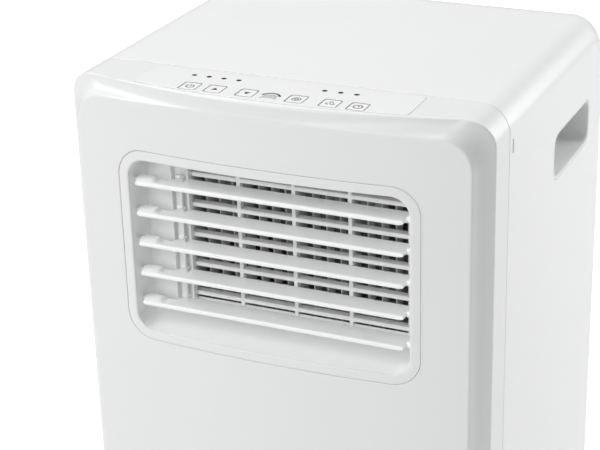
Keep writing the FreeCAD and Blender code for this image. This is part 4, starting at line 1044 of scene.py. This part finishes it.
# Filter covers: two flat white grilles that pull straight off the back, each with rows of long slots,
# a rounded rim and a finger tab at the middle of the lower edge.
cover_white = moulded("cover_white", (0.8, 0.805, 0.805), 0.38, relief=0.00002, dust=0.1, worn=0.2)
cover_thick, slot_pitch = 3.0, 7.5
for which in ("upper", "lower"):
    low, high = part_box(f"{which}_filter_cover")
    cover_half, cover_tall = (high.x - low.x) * 500, (high.z - low.z) * 500
    cover_level = level_of((low.z + high.z) / 2)
    cover_near, cover_face = back_of(low.y), back_of(high.y) - 1.2
    cover_line = oblong((0.0, cover_level), cover_half, cover_tall, 7.0)
    slot_count = int((2 * cover_tall - 24) / slot_pitch)
    slots = [oblong((x, cover_level + (j - (slot_count - 1) / 2) * slot_pitch), 32.0, 2.3, 2.2, 3)
             for x in (-70.0, 0.0, 70.0) for j in range(slot_count)]
    cover = Moulding()
    for corners in fill_plane(grown(cover_line, -1.2), slots, 14.0):
        cover.face([at(x, cover_face, up) for x, up in corners])
        cover.face([at(x, cover_face - cover_thick, up) for x, up in corners][::-1])
    for hole in slots:
        cover.sheet([[at(x, cover_face - step, up) for x, up in hole] for step in (0.0, cover_thick)],
                    closed=True)
    rim = [(-1.2, cover_face), (-0.5, cover_face - 0.2), (-0.1, cover_face - 0.7), (0.0, cover_face - 1.4),
           (0.0, cover_near), (-2.2, cover_near), (-2.2, cover_face - cover_thick),
           (-1.2, cover_face - cover_thick)]
    cover.sheet([[at(x, back, up) for x, up in grown(cover_line, grow)] for grow, back in rim], closed=True)
    tab_middle = (0.0, cover_level - cover_tall + 5.5)
    tab = [[at(x, cover_face + rise, up)
            for x, up in oblong(tab_middle, 16.0 - shrink, 2.6 - shrink, 2.4 - shrink)]
           for shrink, rise in ((0.0, -0.2), (0.0, 0.7), (0.4, 1.1), (1.2, 1.2))]
    cover.sheet(tab, closed=True)
    cover.face(tab[-1])
    cover.sound().finish(f"{which}_cover_grille", f"{which}_filter", cover_white, "white_housing",
                         (f"{which}_filter_cover",), sharp=40)

# Filter meshes: a grey net welded to a ribbed frame, behind each cover.
# The net is fine woven thread with square openings; the frame has two upright ribs.
net_grey = moulded("net_grey", (0.11, 0.115, 0.12), 0.7, relief=0.00003, dust=0.35, worn=0.0)
net_tree = net_grey.node_tree
net_place = add(net_tree, "ShaderNodeTexCoord")
thread_most = add(net_tree, "ShaderNodeMath", operation="MAXIMUM")
for entry, way in enumerate(("X", "Z")):
    thread = add(net_tree, "ShaderNodeTexWave", {"Scale": 160.0, "Distortion": 0.15}, wave_type="BANDS",
                 bands_direction=way)
    wire(net_tree, (net_place, "Object", thread, "Vector"), (thread, "Fac", thread_most, entry))
thread_cut = add(net_tree, "ShaderNodeMapRange", {"From Min": 0.55, "From Max": 0.75})
wire(net_tree, (thread_most, "Value", thread_cut, "Value"),
     (thread_cut, "Result", net_tree.nodes["Principled BSDF"], "Alpha"))
frame_grey = moulded("frame_grey", (0.2, 0.205, 0.21), 0.55, relief=0.00003, dust=0.2, worn=0.15)
net_inset, frame_bar, rib_in, rib_out = 2, 5, 35, 38
for which in ("upper", "lower"):
    low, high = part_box(f"{which}_filter_mesh")
    near, far = back_of(low.y), back_of(high.y)
    half, bottom, top = high.x * 1000, level_of(low.z), level_of(high.z)
    wide, tall = 2 * (half - net_inset), top - bottom - 2 * net_inset
    net = Moulding()
    for i in range(10):
        for j in range(8):
            net.face([at(-half + net_inset + wide * a / 10, (near + far) / 2,
                         bottom + net_inset + tall * b / 8)
                      for a, b in ((i, j), (i + 1, j), (i + 1, j + 1), (i, j + 1))], paint=1)
    for left, right, lower, upper in (
            (-half, half, bottom, bottom + frame_bar), (-half, half, top - frame_bar, top),
            (-half, -half + frame_bar, bottom, top), (half - frame_bar, half, bottom, top),
            (-rib_out, -rib_in, bottom, top), (rib_in, rib_out, bottom, top)):
        net.block((left, near, lower), (right, far, upper))
    net.finish(f"{which}_filter_net", f"{which}_filter", [frame_grey, net_grey], "mesh_grey",
               (f"{which}_filter_mesh",), bevel=0.0004)


def turned(moulding, centre, axis, profile, steps=48, paint=0, flutes=0, flute_depth=0.0):
    """Turns a (radius, along) profile in millimetres about an axis through a centre in metres."""
    way = Vector(axis)
    side = way.orthogonal().normalized()
    other = way.cross(side)
    rows = []
    for radius, along in profile:
        row = []
        for i in range(steps):
            turn = 2 * math.pi * i / steps
            fluted = flutes and radius > 2 * flute_depth
            reach = radius - (flute_depth * (0.5 + 0.5 * math.cos(flutes * turn)) if fluted else 0)
            out = side * math.cos(turn) + other * math.sin(turn)
            row.append(Vector(centre) + out * reach / 1000 + way * along / 1000)
        rows.append(row)
    moulding.sheet(rows, closed=True, paint=paint)
    if profile[0] != profile[-1]:
        moulding.face(rows[0], paint)
        moulding.face(rows[-1], paint)


def stand(name, way):
    """Where a round piece's axis starts, in metres, and its radius and length in millimetres."""
    low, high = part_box(name)
    foot, size = (low + high) / 2, (high - low) * 1000
    axis = way.index(1)
    foot[axis] = low[axis]
    return foot, min(size[i] for i in range(3) if i != axis) / 2, size[axis]


def spoke_ways(turn):
    """The way out from a Y axis at an angle, and the way round it."""
    return Vector((math.cos(turn), 0, math.sin(turn))), Vector((-math.sin(turn), 0, math.cos(turn)))


lying, rising = (0, 1, 0), (0, 0, 1)

# Exhaust collar: a white ring clipped into the back that takes the round hose, with a flat flange,
# a plain spigot with a rolled lip, and short webs between the two.
collar = Moulding()
collar_centre = Vector((0.0, 0.0, (collar_low.z + collar_high.z) / 2))
near, far, wall_back = collar_low.y * 1000, collar_high.y * 1000, back_y + shell_low.y * 1000
ring = [(66, near), (69.8, near), (69.8, wall_back + 0.3), (74.6, wall_back + 0.3), (75.0, near + 4.0),
        (75.0, near + 5.4), (74.3, near + 6.1), (71.0, near + 6.3), (70.0, near + 7.2), (69.6, far - 3.2),
        (70.0, far - 2.6), (70.0, far - 0.8), (69.3, far), (67.0, far), (66.0, far - 0.8), (66, near)]
turned(collar, collar_centre, lying, ring, 96)
web_count, web_half = 12, 0.7
for i in range(web_count):
    out, along = spoke_ways(2 * math.pi * i / web_count)
    web = [collar_centre + out * reach / 1000 + Vector((0, back / 1000, 0))
           for reach, back in ((69.4, near + 5.6), (73.6, near + 5.6), (69.4, near + 16.0))]
    collar.prism([[corner + along * shift / 1000 for corner in web] for shift in (-web_half, web_half)])
collar.sound().finish("exhaust_collar_ring", "cabinet", cover_white, "white_housing", ("exhaust_collar",),
                      sharp=35)

# Drain plugs: soft black rubber stoppers with a fluted head, one above the other at the right.
plug_rubber = moulded("plug_rubber", (0.03, 0.03, 0.032), 0.62, relief=0.00004, dust=0.3, worn=0.1,
                      grain=500)
for name, (low, high) in plug_boxes.items():
    plug = Moulding()
    centre = ((low.x + high.x) / 2, 0.0, (low.z + high.z) / 2)
    near, far = low.y * 1000, high.y * 1000
    turned(plug, centre, lying, [(2.0, near), (4.2, near + 0.4), (4.9, near + 2.0), (4.9, near + 9.4),
                                 (9.0, near + 9.4), (9.0, near + 10.6), (8.6, near + 11.2)])
    turned(plug, centre, lying, [(7.4, near + 11.0), (7.2, far - 0.8), (6.6, far - 0.1), (4.6, far),
                                 (4.0, far - 0.7), (0.4, far - 0.9)], 96, flutes=16, flute_depth=0.6)
    plug.sound().finish(name + "_stopper", "cabinet", plug_rubber, "foot_rubber", (name,), sharp=40)

# Cord inlet: the black bush that guides the supply cord through the back, with a ribbed collar.
bush = Moulding()
near, far = cord_low.y * 1000, cord_high.y * 1000
turned(bush, ((cord_low.x + cord_high.x) / 2, 0.0, (cord_low.z + cord_high.z) / 2), lying,
       [(4.5, near), (8.8, near), (8.8, near + 6.4), (12.0, near + 6.4), (12.0, near + 7.8),
        (11.4, near + 8.5),
        (8.2, near + 8.8), (7.9, near + 9.6), (7.3, near + 9.7), (7.1, near + 10.6), (6.6, near + 10.7),
        (6.4, far - 0.5), (5.9, far), (4.9, far), (4.5, far - 0.4), (4.5, near)])
bush.sound().finish("cord_inlet_bush", "cabinet", plug_rubber, "foot_rubber", ("cord_inlet",), sharp=35)

# Cord hooks: two white hooks beside the inlet, opening up and down, for winding the cord.
hook_low, hook_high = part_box("cord_hooks")
hooks = Moulding()
near, far = hook_low.y * 1000, hook_high.y * 1000
root_inset = 22
hook_line = [(near, -8), (near, 9), (near + 2.2, 9), (near + 3.0, 2.6), (near + 5, 1.4), (far - 5, 1.4),
             (far - 3.6, 2.2), (far - 3.2, 4.0), (far - 3.0, 21.0), (far - 2.2, 22.0), (far - 0.8, 22.0),
             (far, 21.0), (far, 1.0), (far - 1.0, -1.4), (far - 3.5, -2.6), (near + 5, -3.0),
             (near + 3.0, -4.2),
             (near + 2.2, -8)]
for root, way in ((hook_high.z * 1000 - root_inset, 1), (hook_low.z * 1000 + root_inset, -1)):
    hooks.prism([[Vector((x, back / 1000, (root + way * up) / 1000)) for back, up in hook_line]
                 for x in (hook_low.x, hook_high.x)])
hooks.sound().finish("cord_hooks_pair", "cabinet", cover_white, "white_housing", ("cord_hooks",),
                     bevel=0.0006)

# Housing screws: six plated screws with a domed head and a cross recess, holding the housing on.
plated_steel = moulded("plated_steel", (0.5, 0.5, 0.49), 0.3, relief=0.00001, dust=0.05, worn=0.3, metal=1.0,
                       grain=1500)
screw_low, screw_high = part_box("housing_screws")
screws = Moulding()
start, tip = screw_low.y * 1000, screw_high.y * 1000
screw_heights = (78, 330, 600)
head_radius = screw_high.z * 1000 - screw_heights[-1]
screw_profile = [(1.3, start), (1.3, wall_back), (head_radius, wall_back + 0.1), (head_radius, tip - 1.2),
                 (head_radius * 0.85, tip - 0.5), (head_radius * 0.6, tip - 0.1), (head_radius * 0.4, tip),
                 (head_radius * 0.2, tip), (0.1, tip)]
recess_depth = 0.9
for x in (-123.5, 123.5):
    for z in screw_heights:
        rows = []
        for radius, along in screw_profile:
            crossed = 0.15 < radius < head_radius * 0.62 and along > tip - 0.3
            rows.append([])
            for i, (right, up) in enumerate(circle(x, z, radius, 24)):
                sunk = recess_depth if radius <= 0.11 or crossed and i % 6 == 0 else 0.0
                rows[-1].append(Vector((right / 1000, (along - sunk) / 1000, up / 1000)))
        screws.sheet(rows, closed=True)
screws.sound().finish("housing_screw_heads", "cabinet", plated_steel, "screw_steel", ("housing_screws",),
                      sharp=40)

# Castors: four swivel castors pressed into the base tray. The fork is pressed steel round a riveted
# axle; the wheel is hard black plastic with a crowned tread and a dished hub.
fork_steel = moulded("fork_steel", (0.42, 0.42, 0.43), 0.34, relief=0.00002, dust=0.2, worn=0.4, metal=1.0)
wheel_black = moulded("wheel_black", (0.018, 0.018, 0.019), 0.42, relief=0.00003, dust=0.35, worn=0.12)
tread = [(2.1, 7.0), (4.6, 7.0), (5.0, 6.4), (5.6, 4.0), (10.8, 4.0), (11.6, 6.4), (12.4, 6.8), (13.8, 6.2),
         (14.7, 4.6), (15.0, 2.0)]
wheel_profile = [(radius, -along) for radius, along in tread] + tread[::-1] + [(2.1, -7.0)]
spoke = [(4.8, -0.8), (11.4, -0.8), (11.4, 0.8), (4.8, 0.8)]
for place in ("front_left", "front_right", "rear_left", "rear_right"):
    fork_low, fork_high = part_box(f"castor_fork_{place}")
    wheel_low, wheel_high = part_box(f"castor_wheel_{place}")
    middle = Vector(((fork_low.x + fork_high.x) / 2, fork_low.y + 0.014, 0.0))
    axle = (wheel_low + wheel_high) / 2
    rivet = Vector((axle.x, axle.y, 0.015))
    reach = (axle.y - middle.y) * 1000
    top = fork_high.z * 1000
    fork = Moulding()
    turned(fork, middle, rising, [(13.4, 31.0), (14.0, 31.4), (14.0, 32.4), (13.2, 33.2), (10.4, 33.6),
                                  (9.8, 36.4), (8.6, 37.4), (5.0, 37.8), (4.6, 39.0), (4.6, top - 3),
                                  (5.0, top - 2.4), (5.0, top - 1.6), (3.6, top)], 40)
    cheek = [(-9.0, 32.0), (9.5, 32.0)]
    for angle in range(30, -201, -23):
        turn = math.radians(angle)
        cheek.append((reach + 5.0 * math.cos(turn), 15 + 5.0 * math.sin(turn)))
    for side in (-1, 1):
        fork.prism([[middle + Vector((side * x, back, up)) / 1000 for back, up in cheek]
                    for x in (8.0, 9.8)])
        turned(fork, rivet, (side, 0, 0), [(3.0, 9.7), (3.0, 10.6), (2.3, 11.4), (0.5, 11.7)], 20)
    turned(fork, rivet, (1, 0, 0), [(1.8, -9.0), (1.8, 9.0)], 20)
    fork.sound().finish(f"castor_{place}_fork", f"{place}_fork", fork_steel, "castor_steel",
                        (f"castor_fork_{place}",), bevel=0.0003)
    wheel = Moulding()
    turned(wheel, axle, (1, 0, 0), wheel_profile, 64)
    for i in range(6):
        turn = math.radians(60 * i)
        out, along = Vector((0, math.cos(turn), math.sin(turn))), Vector((0, -math.sin(turn), math.cos(turn)))
        for side in (-1, 1):
            wheel.prism([[axle + (out * far_out + along * wide + Vector((side * x, 0, 0))) / 1000
                          for far_out, wide in spoke] for x in (3.6, 5.6)])
    wheel.sound().finish(f"castor_{place}_wheel", f"{place}_wheel", wheel_black, "castor_black",
                         (f"castor_wheel_{place}",), sharp=35)


# Coils: aluminium fins on copper tube, with galvanised end plates and hairpin bends at both ends.
# The evaporator stands behind the upper filter and the condenser behind the lower one.
fin_aluminium = moulded("fin_aluminium", (0.62, 0.63, 0.64), 0.32, relief=0.00003, dust=0.15, worn=0.2,
                        metal=1.0,
                        grain=1800)
tube_copper = moulded("tube_copper", (0.72, 0.36, 0.2), 0.28, relief=0.00001, dust=0.05, worn=0.15,
                      metal=1.0,
                      drift=0.12)


def swept(moulding, points, radius, sides=12, paint=0):
    """A round tube along a smooth run of points in metres."""
    rows = []
    side = None
    for i, point in enumerate(points):
        run = (points[min(i + 1, len(points) - 1)] - points[max(i - 1, 0)]).normalized()
        side = run.orthogonal().normalized() if side is None else (side - run * side.dot(run)).normalized()
        other = run.cross(side)
        rows.append([point + side * right + other * up for right, up in circle(0, 0, radius, sides)])
    moulding.prism(rows, paint)


fin_pitch, fin_thick, bend_room, tube_pitch, bend_bulge = 2.6, 0.0002, 9.0, 25, 0.0045
for name in ("evaporator_coil", "condenser_coil"):
    low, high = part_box(name)
    coil = Moulding()
    x = low.x * 1000 + bend_room + 1.5
    while x < high.x * 1000 - bend_room - 1.5:
        coil.prism([[Vector((x / 1000 + shift, y, z)) for y, z in
                     ((low.y, low.z), (high.y, low.z), (high.y, high.z), (low.y, high.z))]
                    for shift in (0.0, fin_thick)])
        x += fin_pitch
    near, far = back_of(low.y), back_of(high.y)
    for side in (-1, 1):
        inner = (high.x if side > 0 else -low.x) * 1000 - bend_room
        coil.block((side * inner, near, level_of(low.z)), (side * (inner + 1.0), far, level_of(high.z)))
        coil.block((side * (inner - 6.0), near, level_of(low.z)),
                   (side * inner, near + 1.0, level_of(high.z)))
    first, last = low.y * 0.72 + high.y * 0.28, low.y * 0.28 + high.y * 0.72
    middle, half = (first + last) / 2, (last - first) / 2
    for j in range(int((high.z - low.z) * 1000 / tube_pitch)):
        z = low.z + (j + 0.5) * tube_pitch / 1000
        for side in (-1, 1):
            edge = (high.x if side > 0 else low.x) - side * bend_room / 1000
            bend = [Vector((edge + side * bend_bulge * math.sin(turn), middle - half * math.cos(turn), z))
                    for turn in (math.radians(15 * k) for k in range(13))]
            inner_ends = [Vector((edge - side * 0.004, y, z)) for y in (first, last)]
            swept(coil, [inner_ends[0]] + bend + [inner_ends[1]], 0.0034, 10, 1)
    coil.sound().finish(name + "_fins", "cabinet", [fin_aluminium, tube_copper], "coil_aluminium", (name,),
                        sharp=40)

# Blower wheels: black moulded cages of forward-curved blades between a hub plate and two rings.
# Each is pushed onto its motor's shaft, and pulls air in through its open side.
blower_black = moulded("blower_black", (0.03, 0.031, 0.033), 0.5, relief=0.00003, dust=0.3, worn=0.1)
shaft_steel = moulded("shaft_bright", (0.55, 0.55, 0.56), 0.25, relief=0.00001, dust=0.02, worn=0.2,
                      metal=1.0)
blade_count, ring_tall = 44, 2.4
for which in ("evaporator", "condenser"):
    base, radius, depth = stand(f"{which}_wheel", lying)
    wheel = Moulding()
    for start in (0.0, depth - ring_tall):
        turned(wheel, base, lying, [(radius - 9, start), (radius - 0.4, start), (radius, start + 0.4),
                                    (radius, start + 2.0), (radius - 0.4, start + ring_tall),
                                    (radius - 9, start + ring_tall), (radius - 9, start)], 96)
    turned(wheel, base, lying, [(4.0, 0.0), (radius - 9, 0.0), (radius - 9, 1.8), (radius * 0.5, 3.0),
                                (11.0, 6.0),
                                (10.0, 18.0), (9.0, 19.0), (4.0, 19.0), (4.0, 0.0)], 72)
    for i in range(blade_count):
        faces = ([], [])
        for share, width in ((0.0, 0.25), (0.3, 0.55), (0.65, 0.5), (1.0, 0.3)):
            turn = 2 * math.pi * i / blade_count + 0.09 * share * share
            reach = radius - 8.6 + 8.0 * share
            for face, side in zip(faces, (-width, width)):
                face.append((reach * math.cos(turn) - side * math.sin(turn),
                             reach * math.sin(turn) + side * math.cos(turn)))
        wheel.sheet([[base + Vector((x, along, z)) / 1000 for x, z in faces[0] + faces[1][::-1]]
                     for along in (1.0, depth - 1.0)], closed=True)
    wheel.sound().finish(f"{which}_blower_wheel", f"{which}_rotor", blower_black, "wheel_black",
                         (f"{which}_wheel",),
                         sharp=35)
    base, radius, long = stand(f"{which}_shaft", lying)
    shaft = Moulding()
    turned(shaft, base, lying, [(radius - 0.5, 0.0), (radius, 0.5), (radius, long - 0.5),
                                (radius - 0.5, long)], 24)
    shaft.sound().finish(f"{which}_shaft_rod", f"{which}_rotor", shaft_steel, "shaft_steel",
                         (f"{which}_shaft",),
                         sharp=40)

# Motors: two shaded steel cans of drawn sheet with a rolled seam, end bosses and raised ribs round
# each end.
motor_steel = moulded("motor_can_steel", (0.36, 0.37, 0.39), 0.36, relief=0.00003, dust=0.15, worn=0.3,
                      metal=0.9)
can_end = [(0.3, 0.0), (0.32, 1.5), (0.55, 1.8), (0.8, 2.4), (0.93, 4.0), (0.97, 7.0)]
can_seam = [(0.97, 0.42), (1.0, 0.44), (1.0, 0.49), (0.97, 0.51)]
for which in ("evaporator", "condenser"):
    base, radius, long = stand(f"{which}_motor", lying)
    motor = Moulding()
    turned(motor, base, lying, [(radius * share, along) for share, along in can_end] +
           [(radius * share, long * place) for share, place in can_seam] +
           [(radius * share, long - along) for share, along in can_end[::-1]], 64)
    for i in range(16):
        out, along = spoke_ways(2 * math.pi * i / 16)
        for start in (long * 0.18, long * 0.62):
            outline = ((-1.6, start), (1.6, start), (1.6, start + long * 0.16), (-1.6, start + long * 0.16))
            motor.prism([[base + (out * reach + along * wide + Vector((0, back, 0))) / 1000
                          for wide, back in outline] for reach in (radius * 0.93, radius * 0.985)])
    motor.sound().finish(f"{which}_motor_can", "cabinet", motor_steel, "motor_steel", (f"{which}_motor",),
                         sharp=35)

# Compressor: a black enamelled steel shell of two pressed cups welded round the middle, with a
# terminal cover on top; it stands on rubber feet. The accumulator beside it is a small drawn bottle.
enamel_black = moulded("enamel_black", (0.022, 0.022, 0.024), 0.25, relief=0.00004, dust=0.3, worn=0.12,
                       coat=0.3,
                       grain=350)
base, radius, tall = stand("compressor", rising)
body = Moulding()
turned(body, base, rising, [(radius * 0.5, 0.0), (radius * 0.8, 2.5), (radius * 0.93, 8.0),
                            (radius * 0.975, 16.0)] +
       [(radius * share, tall * place) for share, place in (
           (0.975, 0.62), (1.0, 0.63), (1.0, 0.66), (0.97, 0.67), (0.96, 0.83), (0.9, 0.91), (0.7, 0.965),
           (0.36, 0.985), (0.35, 0.997), (0.3, 1.0))], 72)
lug = [(radius * 0.6, -10), (radius * 0.98, -9), (radius, 0), (radius * 0.98, 9), (radius * 0.6, 10)]
for angle in (90, 210, 330):
    turn = Matrix.Rotation(math.radians(angle), 3, "Z")
    body.prism([[base + turn @ Vector((out, wide, up)) / 1000 for out, wide in lug] for up in (0.2, 2.6)])
body.sound().finish("compressor_shell", "cabinet", enamel_black, "compressor_paint", ("compressor",),
                    sharp=35)
base, radius, tall = stand("accumulator", rising)
bottle = Moulding()
bottle_end = [(4.0, 0.0), (4.4, 4.0), (radius * 0.6, 7.0), (radius * 0.92, 13.0), (radius, 20.0)]
turned(bottle, base, rising, bottle_end + [(reach, tall - up) for reach, up in bottle_end[::-1]])
bottle.sound().finish("accumulator_bottle", "cabinet", enamel_black, "compressor_paint", ("accumulator",),
                      sharp=35)

# Run capacitor: a drawn aluminium can with a crimped rim, a black lid and four spade terminals.
base, radius, tall = stand("run_capacitor", rising)
can = Moulding()
turned(can, base, rising, [(radius - 2.0, 0.0), (radius - 0.6, 0.5), (radius, 2.0), (radius, tall - 12.0),
                           (radius - 0.7, tall - 11.0), (radius - 0.7, tall - 10.0), (radius, tall - 9.0),
                           (radius, tall - 7.0), (radius - 1.0, tall - 6.4), (radius - 1.6, tall - 7.4)], 56)
turned(can, base, rising, [(radius - 1.6, tall - 8.0), (radius - 1.8, tall - 7.0), (3.0, tall - 6.6)], 56, 1)
blade_half, blade_thin = 2.8, 0.4
for x, y in ((-6, -3), (6, -3), (-6, 4), (6, 4)):
    outline = [(x + right * blade_half, y + back * blade_thin) for right,
               back in ((-1, -1), (1, -1), (1, 1), (-1, 1))]
    spade = [[base + Vector((right, back, up)) / 1000 for right, back in outline]
             for up in (tall - 7.0, tall)]
    can.sheet(spade, closed=True)
    can.face(spade[1])
can.sound().finish("run_capacitor_can", "cabinet", [fin_aluminium, plug_rubber], "coil_aluminium",
                   ("run_capacitor",),
                   sharp=35)

# Parts inside that keep their modelled shape: board, electrical box, scrolls, ducts, drip tray, pipes,
# feet and base tray. Each gets a finish of its own, and all but the pipes get softened edges.
tray_plastic = moulded("tray_plastic", (0.1, 0.105, 0.11), 0.5, relief=0.00004, dust=0.35, worn=0.12,
                       grain=500)
duct_foam = moulded("duct_foam", (0.7, 0.71, 0.72), 0.85, relief=0.0003, dust=0.15, worn=0.05, grain=260,
                    drift=0.05)
scroll_plastic = moulded("scroll_plastic", (0.5, 0.51, 0.52), 0.45, relief=0.00003, dust=0.2, worn=0.15)
board_green = moulded("board_green", (0.02, 0.12, 0.05), 0.3, relief=0.00003, dust=0.1, worn=0.1, grain=300,
                      drift=0.25, coat=0.3)
box_steel = moulded("box_galvanised", (0.55, 0.56, 0.57), 0.42, relief=0.00002, dust=0.1, worn=0.3,
                    metal=1.0,
                    grain=120, drift=0.15)
for finish, names in (
        (board_green, ("control_board",)), (box_steel, ("electrical_box",)),
        (scroll_plastic, ("evaporator_scroll", "condenser_scroll")),
        (duct_foam, ("outlet_duct", "exhaust_duct")),
        (tray_plastic, ("drip_tray", "base_tray")), (plug_rubber, ("compressor_feet",)),
        (tube_copper, ("discharge_pipe", "suction_pipe", "liquid_pipe"))):
    for name in names:
        kept = frame["nodes"][name]
        kept.data.materials.clear()
        kept.data.materials.append(finish)
        if finish is not tube_copper:
            softened = kept.modifiers.new("softened_edges", "BEVEL")
            softened.width, softened.segments = 0.0005, 2
            softened.limit_method, softened.angle_limit = "ANGLE", math.radians(50)
